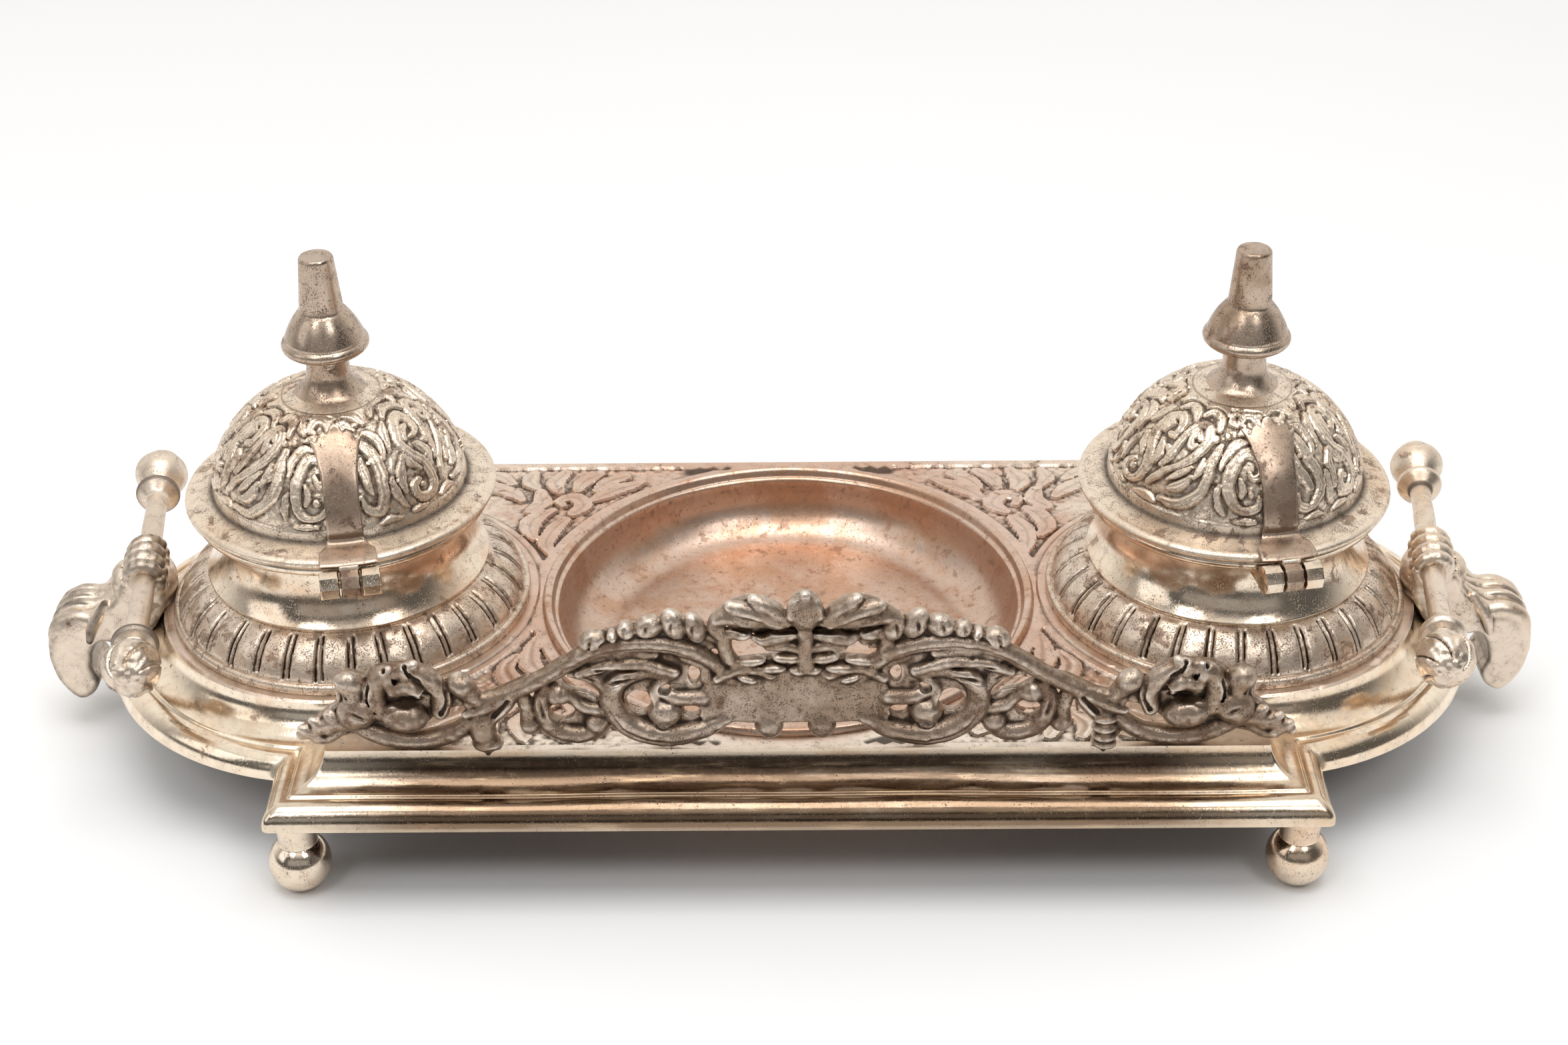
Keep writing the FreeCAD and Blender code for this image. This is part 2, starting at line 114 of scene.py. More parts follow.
def softened(points, soft):
    """The same outline with its sharp corners rounded a little."""
    rounded = [points[0]]
    for before, here, after in zip(points, points[1:], points[2:]):
        p, q, r = (np.array(v) for v in (before, here, after))
        u, v = q - p, r - q
        lu, lv = np.linalg.norm(u), np.linalg.norm(v)
        bend = math.acos(max(-1.0, min(1.0, float(u @ v) / (lu * lv))))
        if bend < math.radians(24) or q[0] < 1e-6:
            rounded.append(here)
            continue
        a, b = q - u / lu * min(soft, 0.4 * lu), q + v / lv * min(soft, 0.4 * lv)
        for t in (0.0, 0.33, 0.67, 1.0):
            rounded.append(tuple((1 - t) ** 2 * a + 2 * t * (1 - t) * q + t * t * b))
    rounded.append(points[-1])
    return rounded


def profile(start, *steps, soft=0.18, fine=0.7):
    """Points of an (r, z) outline. (r, z) is a line, and (mr, mz, r, z) an arc."""
    points = [start]
    for step in steps:
        if len(step) == 2:
            points.append(step)
        else:
            length = math.dist(points[-1], step[:2]) + math.dist(step[:2], step[2:])
            points += arc_points(points[-1], step[:2], step[2:], max(4, int(length / fine)))
    return np.array(softened(points, soft))


def finely(points, step):
    """The same outline with no stretch longer than step."""
    out = [points[0]]
    for a, b in zip(points, points[1:]):
        n = max(1, math.ceil(np.linalg.norm(b - a) / step))
        out += [a + (b - a) * i / n for i in range(1, n + 1)]
    return np.array(out)


def curve_through(points, step=0.5):
    """A smooth line through points of two or more numbers each, about step apart."""
    p = np.array(points, float)
    p = np.vstack([2 * p[0] - p[1], p, 2 * p[-1] - p[-2]])
    out = [p[1]]
    for a, b, c, d in zip(p, p[1:], p[2:], p[3:]):
        n = max(2, math.ceil(np.linalg.norm((c - b)[:3]) / step))
        for t in np.linspace(0, 1, n + 1)[1:]:
            out.append(0.5 * (2 * b + (c - a) * t + (2 * a - 5 * b + 4 * c - d) * t ** 2
                              + (3 * b - a - 3 * c + d) * t ** 3))
    return np.array(out)


def smooth(value, low, high):
    """0 below low, 1 above high, and a soft step between."""
    t = np.clip((value - low) / (high - low), 0, 1)
    return t * t * (3 - 2 * t)


def lattice_noise(points, size, seed):
    """Smooth random values from -1 to 1, with features about size across."""
    table = np.random.default_rng(seed).uniform(-1, 1, (32, 32, 32)).astype(np.float32)
    q = np.asarray(points, np.float32) / size + 500.0
    whole = np.floor(q).astype(int)
    f = q - whole
    f = f * f * (3 - 2 * f)
    total = 0
    for corner in product((0, 1), repeat=3):
        share = 1
        for k, step in enumerate(corner):
            share = share * np.abs(1 - step - f[..., k])
        cell = tuple((whole[..., k] + step) % 32 for k, step in enumerate(corner))
        total = total + share * table[cell]
    return total


def in_plane(points):
    """Flat points with a height of 0, as lattice_noise takes them."""
    return np.column_stack([points, np.zeros(len(points))])


def round_axis(radius, angle, height):
    """Points at a radius, an angle and a height about Z."""
    return np.column_stack([radius * np.cos(angle), radius * np.sin(angle), 0 * angle + height])


# ---- meshes ------------------------------------------------------------------------------
def linked(name, data):
    """A new object in the scene."""
    o = bpy.data.objects.new(name, data)
    bpy.context.scene.collection.objects.link(o)
    return o


def fetched(items, field, width, kind=float):
    """One field of all vertices, edges or faces, as rows of width numbers."""
    values = np.empty(len(items) * width, kind)
    items.foreach_get(field, values)
    return values.reshape(-1, width)


def averaged(values, pairs, rounds):
    """values spread over a mesh, by averaging each point with its neighbours."""
    count = len(values)
    ends = np.concatenate([pairs[:, 0], pairs[:, 1]])
    others = np.concatenate([pairs[:, 1], pairs[:, 0]])
    degree = np.maximum(np.bincount(ends, minlength=count), 1)[:, None]
    for _ in range(rounds):
        summed = [np.bincount(ends, values[others, k], count) for k in range(values.shape[1])]
        values = 0.5 * values + 0.5 * np.stack(summed, 1) / degree
    return values


def mark_relief(mesh, reach):
    """Store how far each point stands above (+) or below (-) its surroundings, in mm, for the patina, the
    painted shade in hollows and the painted highlight on ridges.
    """
    at = fetched(mesh.vertices, "co", 3) / MM
    normals = fetched(mesh.vertices, "normal", 3)
    pairs = fetched(mesh.edges, "vertices", 2, np.int32)
    step = float(np.median(np.linalg.norm(at[pairs[:, 0]] - at[pairs[:, 1]], axis=1)))
    rounds = int(min(60, max(3, (reach / max(step, 0.05)) ** 2)))
    height = np.sum((at - averaged(at, pairs, rounds)) * normals, 1)
    attribute = mesh.attributes.new("relief", "FLOAT", "POINT")
    attribute.data.foreach_set("value", height.astype(np.float32))


def new_object(name, points, faces, reach=1.2, sharp=38):
    """A smooth-shaded mesh object from points in mm, with its relief marked."""
    mesh = bpy.data.meshes.new(name)
    mesh.from_pydata((np.asarray(points) * MM).tolist(), [], faces)
    mesh.validate()
    mesh.update()
    mark_relief(mesh, reach)
    mesh.shade_smooth()
    if sharp:
        mesh.set_sharp_from_angle(angle=math.radians(sharp))
    return linked(name, mesh)


def revolved(points, segments, swell):
    """Points and faces of an (r, z) outline turned about Z.
    swell(angles, i) pushes the ring of outline point i outwards, in mm."""
    angle = np.arange(segments) * 2 * math.pi / segments
    closed = np.allclose(points[0], points[-1])
    if closed:
        points = points[:-1]
        around = np.roll(points, -1, 0) - np.roll(points, 1, 0)
    else:
        around = np.gradient(points, axis=0)
    normal = np.stack([around[:, 1], -around[:, 0]], 1)
    normal /= np.maximum(np.linalg.norm(normal, axis=1, keepdims=True), 1e-9)
    verts, rings = [], []
    for i, (r, z) in enumerate(points):
        start = len(verts)
        if r < 1e-6:
            rings.append([start] * segments)
            verts.append((0.0, 0.0, z))
            continue
        push = swell(angle, i) if swell else np.zeros(segments)
        radius = r + push * normal[i, 0]
        rings.append(list(range(start, start + segments)))
        verts += list(zip(radius * np.cos(angle), radius * np.sin(angle), z + push * normal[i, 1]))
    pairs = list(zip(rings, rings[1:]))
    if closed:
        pairs.append((rings[-1], rings[0]))
    faces = []
    for low, high in pairs:
        for j in range(segments):
            k = (j + 1) % segments
            corners = list(dict.fromkeys((low[j], low[k], high[k], high[j])))
            if len(corners) > 2:
                faces.append(corners)
    return np.array(verts, float), faces


def turned_object(name, points, place, segments=192, swell=None, reach=1.2, dents=0.03):
    """A lathe-turned piece, a little uneven as by use. place takes its points to where they belong."""
    verts, faces = revolved(points, segments, swell)
    out = in_plane(verts[:, :2])
    out /= np.maximum(np.linalg.norm(out, axis=1, keepdims=True), 1.0)
    verts = verts + out * (dents * lattice_noise(verts, 7.0, len(name)))[:, None]
    return new_object(name, place(verts), faces, reach)


def combined(*parts):
    """Several (points, faces) as one."""
    points, faces, start = [], [], 0
    for p, f in parts:
        points.append(p)
        faces += [[start + i for i in face] for face in f]
        start += len(p)
    return np.vstack(points), faces


def band(low, high, n):
    """Faces between two rings of n points, which start at the points low and high."""
    return [[low + j, low + (j + 1) % n, high + (j + 1) % n, high + j] for j in range(n)]


def block(low, high, edge):
    """Points and faces of a box with rounded edges."""
    bm = bmesh.new()
    bmesh.ops.create_cube(bm, size=1.0)
    low, high = np.array(low, float), np.array(high, float)
    for v in bm.verts:
        v.co = Vector((low + high) / 2 + np.array(v.co) * (high - low))
    bmesh.ops.bevel(bm, geom=list(bm.edges), offset=edge, segments=3, profile=0.6, affect="EDGES")
    bm.verts.index_update()
    result = np.array([tuple(v.co) for v in bm.verts]), [[v.index for v in f.verts] for f in bm.faces]
    bm.free()
    return result


def about_z(points, angle):
    """Points turned about Z."""
    c, s = math.cos(angle), math.sin(angle)
    p = np.asarray(points, float)
    return np.stack([c * p[:, 0] - s * p[:, 1], s * p[:, 0] + c * p[:, 1], p[:, 2]], 1)


def on_tray(side):
    """From a pot's own frame to its place on the tray."""
    return lambda p: about_z(p, POT_TURN) + np.array([side * POT_X, 0, 0])


def along_bar(p):
    """From a frame with Z along the bar to the bar's place at the right-hand end."""
    laid = np.stack([p[:, 0], p[:, 2], -p[:, 1]], 1)
    return about_z(laid, -BAR_SPLAY) + np.array([BAR_X, 0, BAR_Z])


def at_end(side, place=None):
    """The right-hand end's place, or its mirror image on the left."""
    def move(p):
        p = place(p) if place else np.asarray(p, float)
        return p * np.array([side, 1, 1])
    return move


class Field:
    """Distances to a sculpted surface on a grid of points, in mm: below 0 is inside."""
    FAR = 3.0

    def __init__(self, low, high, pitch):
        self.low = np.array(low, float)
        self.pitch = pitch
        counts = np.ceil((np.array(high) - self.low) / pitch).astype(int) + 1
        self.d = np.full(counts, self.FAR, np.float32)

    def window(self, low, high):
        """The part of the grid from low to high: its first corner, its slices and its coordinates."""
        first = np.maximum(np.floor((np.array(low) - self.low) / self.pitch).astype(int), 0)
        last = np.minimum(np.ceil((np.array(high) - self.low) / self.pitch).astype(int) + 1, self.d.shape)
        axes = [(self.low[k] + self.pitch * np.arange(first[k], last[k])).astype(np.float32)
                for k in range(3)]
        return first, tuple(slice(a, b) for a, b in zip(first, last)), np.ix_(*axes)

    def apply(self, where, d, blend, carve=False):
        """Join a shape to the surface, or cut it away, with a seam softened over blend mm."""
        sign = -1 if carve else 1
        old = sign * self.d[where]
        seam = np.clip(blend - np.abs(old - d), 0, None) ** 2 / (4 * blend)
        self.d[where] = sign * (np.minimum(old, d) - seam)

    def tube(self, points, blend=0.5, flat=1.0, carve=False, smooth_line=True):
        """A round bar along points (x, y, z, radius), flattened in Y by the factor flat."""
        line = curve_through(points) if smooth_line and len(points) > 2 else np.array(points, float)
        margin = line[:, 3].max() + blend + 3 * self.pitch
        first, where, _ = self.window(line[:, :3].min(0) - margin, line[:, :3].max(0) + margin)
        near = np.full(self.d[where].shape, self.FAR, np.float32)
        for a, b in zip(line, line[1:]):
            reach = max(a[3], b[3]) + blend + 3 * self.pitch
            low, high = np.minimum(a, b)[:3] - reach, np.maximum(a, b)[:3] + reach
            _, part, (x, y, z) = self.window(low, high)
            v = (b - a)[:3]
            dot = (x - a[0]) * v[0] + (y - a[1]) * v[1] + (z - a[2]) * v[2]
            t = np.clip(dot / max(v @ v, 1e-9), 0, 1)
            away = (x - a[0] - t * v[0]) ** 2 + ((y - a[1] - t * v[1]) / flat) ** 2
            away = away + (z - a[2] - t * v[2]) ** 2
            d = np.sqrt(away) - (a[3] + t * (b[3] - a[3]))
            inner = tuple(slice(s.start - f, s.stop - f) for s, f in zip(part, first))
            near[inner] = np.minimum(near[inner], d)
        self.apply(where, near, blend, carve)

    def ball(self, centre, radii, blend=0.5, tilt=0.0, carve=False):
        """An ellipsoid, tilted about Y by tilt radians."""
        reach = max(radii) + blend + 3 * self.pitch
        centre = np.array(centre, float)
        _, where, (x, y, z) = self.window(centre - reach, centre + reach)
        c, s = math.cos(tilt), math.sin(tilt)
        u = ((x - centre[0]) * c + (z - centre[2]) * s) / radii[0]
        w = ((z - centre[2]) * c - (x - centre[0]) * s) / radii[2]
        v = (y - centre[1]) / radii[1]
        d = (np.sqrt(u * u + v * v + w * w) - 1) * min(radii)
        self.apply(where, d.astype(np.float32), blend, carve)

    def slab(self, outline, low_y, high_y, edge=0.8, blend=0.5):
        """A plate of an (x, z) outline between two places in Y, with rounded edges."""
        reach = blend + 3 * self.pitch
        o = np.array(outline, float)
        low = np.array([o[:, 0].min() - reach, low_y - reach, o[:, 1].min() - reach])
        high = np.array([o[:, 0].max() + reach, high_y + reach, o[:, 1].max() + reach])
        _, where, (x, y, z) = self.window(low, high)
        flat = outline_distance(x[:, 0, :], z[:, 0, :], o)[:, None, :]
        across = np.abs(y - (low_y + high_y) / 2) - (high_y - low_y) / 2
        u, v = flat + edge, across + edge
        d = np.hypot(np.maximum(u, 0), np.maximum(v, 0)) + np.minimum(np.maximum(u, v), 0) - edge
        self.apply(where, d.astype(np.float32), blend)

    def object(self, name, place, reach, cast, seed):
        """The surface as a mesh object, with the unevenness of a casting, cast mm high."""
        grid = openvdb.FloatGrid(self.FAR)
        grid.copyFromArray(self.d)
        points, triangles, quads = grid.convertToPolygons(isovalue=0.0, adaptivity=0.0)
        points = points * self.pitch + self.low
        faces = triangles.tolist() + quads.tolist()
        a, b, c = (points[quads[:, k]] for k in range(3))
        outward = np.cross(b - a, c - a)
        if np.sum(outward * (a - points.mean(0))) < 0:
            faces = [f[::-1] for f in faces]
            outward = -outward
        away = np.zeros_like(points)
        for k in range(4):
            np.add.at(away, quads[:, k], outward)
        away /= np.maximum(np.linalg.norm(away, axis=1, keepdims=True), 1e-9)
        rough = lattice_noise(points, 2.4, seed) + 0.6 * lattice_noise(points, 0.9, seed + 1)
        points = points + away * (cast * rough)[:, None]
        return new_object(name, place(points), faces, reach, sharp=0)


def outline_distance(x, y, outline):
    """Distance from points to a closed outline, below 0 inside."""
    x, y = np.broadcast_arrays(x, y)
    best = np.full(x.shape, 1e9)
    inside = np.zeros(x.shape, bool)
    for (ax, ay), (bx, by) in zip(outline, np.roll(outline, -1, 0)):
        ex, ey = bx - ax, by - ay
        if ex * ex + ey * ey < 1e-12:
            continue
        t = np.clip(((x - ax) * ex + (y - ay) * ey) / (ex * ex + ey * ey), 0, 1)
        best = np.minimum(best, (x - ax - t * ex) ** 2 + (y - ay - t * ey) ** 2)
        if abs(ey) > 1e-12:
            crosses = (ay > y) != (by > y)
            inside ^= crosses & (x < ax + (y - ay) * ex / ey)
    return np.where(inside, -1, 1) * np.sqrt(best)


def tray_distance(points, inset):
    """Distance outside the tray's outline moved in by inset, below 0 within it."""
    x, y = points[:, 0], np.abs(points[:, 1])
    middle = np.maximum(np.abs(x - TRAY_SHIFT) - TRAY_HALF_X, y - TRAY_HALF_Y)
    return np.minimum(middle, np.hypot(np.abs(x) - POT_X, y) - LOBE_R) + inset


def triangulated(inner_points, *rings):
    """Points, triangles and the triangles' middles of a flat area that keeps the edges of closed rings."""
    edges, start = [], 0
    for n in map(len, rings):
        edges += [(start + i, start + (i + 1) % n) for i in range(n)]
        start += n
    result = delaunay_2d_cdt([Vector(p) for p in np.vstack([*rings, inner_points])], edges, [], 0, 1e-7)
    at = np.array([tuple(p) for p in result[0]])
    faces = np.array([f for f in result[2] if len(f) == 3])
    return at, faces, at[faces].mean(1)


def filled(loop, inset, hole, inner_points):
    """Points and triangles of the tray's outline moved in by inset, with a round hole in the middle."""
    radius = np.hypot(*hole[0])
    clear = (tray_distance(inner_points, inset) < -0.25) & (np.hypot(*inner_points.T) > radius + 0.25)
    at, faces, middle = triangulated(inner_points[clear], loop, hole)
    keep = (tray_distance(middle, inset) < 1e-4) & (np.hypot(*middle.T) > radius - 0.02)
    return at, faces[keep]


def wear(o, material):
    """Make an object of one material."""
    o.data.materials.clear()
    o.data.materials.append(material)


def dress(o, body, slot_name, material, *nodes):
    """Ride on the body, stand for the CAD nodes, and wear the material."""
    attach(o, body)
    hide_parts(*nodes)
    wear(o, material)
    return o


# ---- materials ---------------------------------------------------------------------------
class Graph:
    """Short names for the nodes of a material or a world."""

    def __init__(self, owner, shader="Principled BSDF", coordinates="Object"):
        owner.use_nodes = True
        self.owner = owner
        self.tree = owner.node_tree
        self.shader = self.tree.nodes[shader]
        self.where = self.node("ShaderNodeTexCoord").outputs[coordinates]

    @classmethod
    def of_material(cls, name):
        return cls(bpy.data.materials.new(name))

    def node(self, kind, **values):
        n = self.tree.nodes.new(kind)
        for key, value in values.items():
            setattr(n, key, value)
        return n

    def feed(self, socket, value):
        """Link a socket, or set a number or an (r, g, b) colour on it."""
        if isinstance(value, bpy.types.NodeSocket):
            self.tree.links.new(value, socket)
        elif isinstance(value, tuple):
            socket.default_value = (*value, 1.0)
        elif value is not None:
            socket.default_value = value

    def place(self):
        """The x, y and z of each point, in metres."""
        split = self.node("ShaderNodeSeparateXYZ")
        self.feed(split.inputs[0], self.where)
        return split.outputs

    def noise(self, size, detail=4.0, rough=0.55, stretch=None, warp=0.0):
        """Noise with features about size mm across."""
        where = self.where
        if stretch:
            mapping = self.node("ShaderNodeMapping")
            self.feed(mapping.inputs["Vector"], where)
            mapping.inputs["Scale"].default_value = stretch
            where = mapping.outputs["Vector"]
        n = self.node("ShaderNodeTexNoise")
        self.feed(n.inputs["Vector"], where)
        n.inputs["Scale"].default_value = 1 / (size * MM)
        n.inputs["Detail"].default_value = detail
        n.inputs["Roughness"].default_value = rough
        n.inputs["Distortion"].default_value = warp
        return n.outputs["Fac"]

    def between(self, value, low, high, to_low=0.0, to_high=1.0):
        """value taken smoothly from the range low..high to to_low..to_high, and held there."""
        n = self.node("ShaderNodeMapRange", interpolation_type="SMOOTHSTEP")
        self.feed(n.inputs["Value"], value)
        limits = {"From Min": low, "From Max": high, "To Min": to_low, "To Max": to_high}
        for key, number in limits.items():
            n.inputs[key].default_value = number
        return n.outputs["Result"]

    def math(self, operation, a, b):
        n = self.node("ShaderNodeMath", operation=operation)
        self.feed(n.inputs[0], a)
        self.feed(n.inputs[1], b)
        return n.outputs[0]

    def mix(self, share, a, b):
        """Colour a, or b where share is 1."""
        n = self.node("ShaderNodeMix", data_type="RGBA")
        self.feed(n.inputs[0], share)
        self.feed(n.inputs[6], a)
        self.feed(n.inputs[7], b)
        return n.outputs[2]

    def blend(self, share, a, b):
        """Number a, or b where share is 1."""
        n = self.node("ShaderNodeMix", data_type="FLOAT")
        self.feed(n.inputs[0], share)
        self.feed(n.inputs[2], a)
        self.feed(n.inputs[3], b)
        return n.outputs[0]

    def bump(self, *layers):
        """Layers of (height, distance in mm), one bump over another."""
        normal = None
        for height, distance in layers:
            n = self.node("ShaderNodeBump")
            n.inputs["Distance"].default_value = distance * MM
            self.feed(n.inputs["Height"], height)
            self.feed(n.inputs["Normal"], normal)
            normal = n.outputs["Normal"]
        self.feed(self.shader.inputs["Normal"], normal)


PLATE = (0.86, 0.73, 0.585)
GOLDEN = (0.80, 0.59, 0.42)
TARNISH = (0.27, 0.17, 0.12)
# near black: the colour of dirt and pits, and also of the painted shade in hollows
DIRT_AND_SHADE = (0.05, 0.034, 0.025)


def worn_metal(name, plate=PLATE, golden=GOLDEN, spots=TARNISH, edge=None, zone=None, size=1.0,
               worn=0.5, spotted=0.5, pitted=0.5, rough=0.16, dull=0.3, grain=0.0,
               recess_shade=0.5, recess_depth=0.25):
    """Silver plate over brass. edge is the colour that raised edges are lightened towards, both as plate worn
    bright and as a painted highlight, and zone may change the colour from place to place. size scales the
    patches. worn is the share of golden metal, spotted that of brown tarnish, and pitted that of small dark
    pits. rough is the polish, and dull what tarnish adds to it.
    recess_shade is how dark the hollows are painted, both as dirt lodged in them and as painted shade, and
    recess_depth how deep in mm they are where they are darkest."""
    g = Graph.of_material(name)
    broad = g.noise(34 * size, 3.0, 0.5, warp=0.6)
    patches = g.noise(7.5 * size, 7.0, 0.62, warp=0.4)
    blotches = g.noise(2.6 * size, 6.0, 0.65, warp=0.5)
    fine = g.noise(0.9, 5.0, 0.6)
    specks = g.noise(0.30, 3.0, 0.6)
    brushed = g.noise(0.35, 3.0, 0.6, stretch=(1.0, 0.06, 1.0))
    scratched = g.noise(0.8, 2.0, 0.5, stretch=(0.05, 1.0, 0.7), warp=0.3)
    relief = g.node("ShaderNodeAttribute", attribute_name="relief").outputs["Fac"]
    gold_share = g.between(g.blend(0.35, broad, patches), 0.62 - 0.3 * worn, 0.78 - 0.3 * worn)
    colour = g.mix(gold_share, plate, golden)
    if zone:
        colour = zone(g, colour)
    spot_from = 0.69 - 0.20 * spotted
    spot_share = g.between(g.blend(0.35, patches, blotches), spot_from, spot_from + 0.035)
    colour = g.mix(g.math("MULTIPLY", spot_share, 0.62), colour, spots)
    colour = g.mix(g.between(blotches, 0.40, 0.70, 0.0, 0.20), colour, spots)
    speck_from = 0.64 - 0.10 * pitted
    speck_share = g.between(g.blend(0.35, specks, blotches), speck_from, speck_from + 0.06)
    colour = g.mix(g.math("MULTIPLY", speck_share, 0.55), colour, DIRT_AND_SHADE)
    # painted shade: the hollows are darkened, both as dirt lodged there and as the shade that falls in them
    uneven_relief = g.math("ADD", relief, g.math("MULTIPLY", fine, 0.04))
    hollow = g.between(uneven_relief, -recess_depth, 0.03, 1.0, 0.0)
    colour = g.mix(g.math("MULTIPLY", hollow, recess_shade), colour, DIRT_AND_SHADE)
    # painted highlight: raised places are lightened, both as plate worn bright and as light catching the
    # ridges
    rubbed_and_highlit = 0.8 if edge else 0.25 if zone else 0.5
    colour = g.mix(g.between(relief, 0.05, 0.26, 0.0, rubbed_and_highlit), colour, edge or plate)
    g.feed(g.shader.inputs["Base Color"], colour)
    roughness = g.blend(spot_share, g.between(patches, 0.3, 0.8, rough, rough + dull * 0.6), rough + dull)
    roughness = g.blend(g.math("MAXIMUM", hollow, speck_share), roughness, 0.55)
    roughness = g.math("ADD", roughness, g.between(brushed, 0.3, 0.8, -0.03, 0.06))
    g.feed(g.shader.inputs["Roughness"], roughness)
    g.shader.inputs["Metallic"].default_value = 1.0
    g.bump((g.noise(16, 2.0, 0.4), 0.10), (scratched, 0.010), (brushed, 0.006), (blotches, 0.02),
           (fine, 0.015 + grain), (g.math("MULTIPLY", speck_share, -1.0), 0.02))
    return g.owner


def moulding_streaks_and_shade(g, colour):
    """The front moulding: brown and gold streaks over a painted dark reflection, darkest high in the cove and
    only along the front, and bright plate by the corners.
    """
    x, y, z = g.place()
    streaks = g.noise(9.0, 5.0, 0.6, stretch=(0.22, 1.0, 1.6), warp=0.5)
    fine_streaks = g.noise(2.2, 4.0, 0.6, stretch=(0.12, 1.0, 1.0))
    # painted shade: only the front of the moulding, which faces the dark side of the room, gets the dark
    # colour
    front = g.between(y, -55.0 * MM, -53.5 * MM, 1.0, 0.0)
    inner = g.between(g.math("ABSOLUTE", x, 0.0), 68 * MM, 94 * MM, 1.0, 0.25)
    share = g.math("MULTIPLY", g.between(streaks, 0.34, 0.50, 0.84, 1.0), g.math("MULTIPLY", front, inner))
    # painted reflection: the cove's colour turns darker upwards, where it would mirror the dark room
    cove = g.mix(g.between(z, 22.8 * MM, 25.0 * MM), (0.225, 0.152, 0.098), (0.085, 0.055, 0.036))
    brown = g.mix(g.between(fine_streaks, 0.52, 0.68, 0.0, 0.5), cove, (0.50, 0.36, 0.22))
    return g.mix(share, colour, brown)


def platform_zone(g, colour):
    """Coppery round the dish and towards the back, champagne round the pots, and pale along the front."""
    x, y, _ = g.place()
    away = g.math("POWER", g.math("ADD", g.math("MULTIPLY", x, x), g.math("MULTIPLY", y, y)), 0.5)
    ragged = g.math("ADD", away, g.between(g.noise(6.0, 5.0, 0.6), 0.3, 0.7, -10 * MM, 10 * MM))
    champagne = g.mix(g.between(ragged, 58 * MM, 80 * MM, 0.0, 0.85), colour, (0.82, 0.69, 0.57))
    return g.mix(g.between(y, -50 * MM, -44 * MM, 0.85, 0.0), champagne, (0.90, 0.80, 0.68))


def glass():
    """Clear pressed glass with a faint film of ink."""
    g = Graph.of_material("liner_glass")
    film = g.between(g.noise(6, 5.0, 0.6), 0.45, 0.7)
    g.feed(g.shader.inputs["Base Color"], g.mix(film, (0.86, 0.90, 0.89), (0.62, 0.66, 0.72)))
    g.feed(g.shader.inputs["Roughness"], g.between(film, 0.0, 1.0, 0.04, 0.22))
    g.shader.inputs["Transmission Weight"].default_value = 0.85
    g.shader.inputs["IOR"].default_value = 1.5
    g.bump((g.noise(5, 2.0), 0.05))
    return g.owner


def pale_floor():
    """Matt, nearly white board."""
    g = Graph.of_material("studio_floor")
    tone = g.between(g.noise(400, 2.0), 0.3, 0.7)
    g.feed(g.shader.inputs["Base Color"], g.mix(tone, (0.92, 0.92, 0.925), (0.94, 0.94, 0.945)))
    g.shader.inputs["Roughness"].default_value = 0.6
    g.shader.inputs["Specular IOR Level"].default_value = 0.2
    return g.owner


# recess_shade sets how much painted shade each metal gets in its hollows, and edge, where given, its painted
# highlight on raised edges
TRAY_METAL = worn_metal(
    "tray_metal", plate=(0.92, 0.79, 0.63), golden=(0.86, 0.66, 0.47), zone=moulding_streaks_and_shade,
    spotted=0.40, pitted=0.45, rough=0.10, dull=0.22)
# painted shade: the hollow underside is dull cast brown made very dark, so that the floor under the tray
# stays in shade
SHADED_UNDERSIDE = worn_metal(
    "cast_underside_painted_dark", plate=(0.20, 0.15, 0.115), golden=(0.16, 0.11, 0.08),
    spotted=0.6, rough=0.50, grain=0.05)
PLATFORM_METAL = worn_metal(
    "platform_metal", plate=(0.72, 0.54, 0.44), golden=(0.66, 0.45, 0.34), zone=platform_zone,
    worn=0.6, pitted=0.7, rough=0.28, recess_shade=0.85)
POLISHED = worn_metal("polished_metal", worn=0.55, spotted=0.47, pitted=0.65, rough=0.11, dull=0.24)
STRAP_METAL = worn_metal(
    "strap_metal", plate=(0.48, 0.36, 0.275), golden=(0.31, 0.215, 0.15), spots=(0.16, 0.10, 0.075),
    edge=(0.92, 0.82, 0.71), worn=0.55, spotted=0.72, pitted=0.8, rough=0.24)
FINIAL_METAL = worn_metal(
    "finial_metal", plate=(0.54, 0.425, 0.335), golden=(0.40, 0.285, 0.20),
    worn=0.55, spotted=0.6, pitted=1.0, rough=0.20)
FLUTED = worn_metal(
    "fluted_metal", plate=(0.75, 0.625, 0.51), golden=(0.64, 0.475, 0.35),
    spotted=0.70, pitted=1.2, rough=0.30, grain=0.03, recess_shade=0.95, recess_depth=0.18)
EMBOSSED = worn_metal(
    "embossed_metal", plate=(0.87, 0.735, 0.595), golden=(0.76, 0.58, 0.425),
    spotted=0.68, pitted=1.2, rough=0.27, grain=0.03, recess_shade=0.80, recess_depth=0.19)
CAST = worn_metal(
    "cast_metal", plate=(0.80, 0.68, 0.56), golden=(0.74, 0.57, 0.42),
    worn=0.45, spotted=0.45, pitted=0.7, rough=0.30, grain=0.03, recess_shade=0.88, recess_depth=0.26)
GALLERY_METAL = worn_metal(
    "gallery_metal", plate=(0.50, 0.40, 0.32), golden=(0.34, 0.25, 0.18), edge=(0.88, 0.78, 0.68),
    worn=0.75, spotted=0.7, pitted=1.1, rough=0.32, grain=0.04, recess_shade=0.97, recess_depth=0.16)
DISH_METAL = worn_metal(
    "coppery_dish", plate=(0.68, 0.51, 0.41), golden=(0.60, 0.38, 0.26), spots=(0.42, 0.27, 0.20),
    size=0.45, worn=0.6, spotted=0.66, pitted=0.65, rough=0.27, dull=0.2, recess_shade=0.6, recess_depth=0.15)
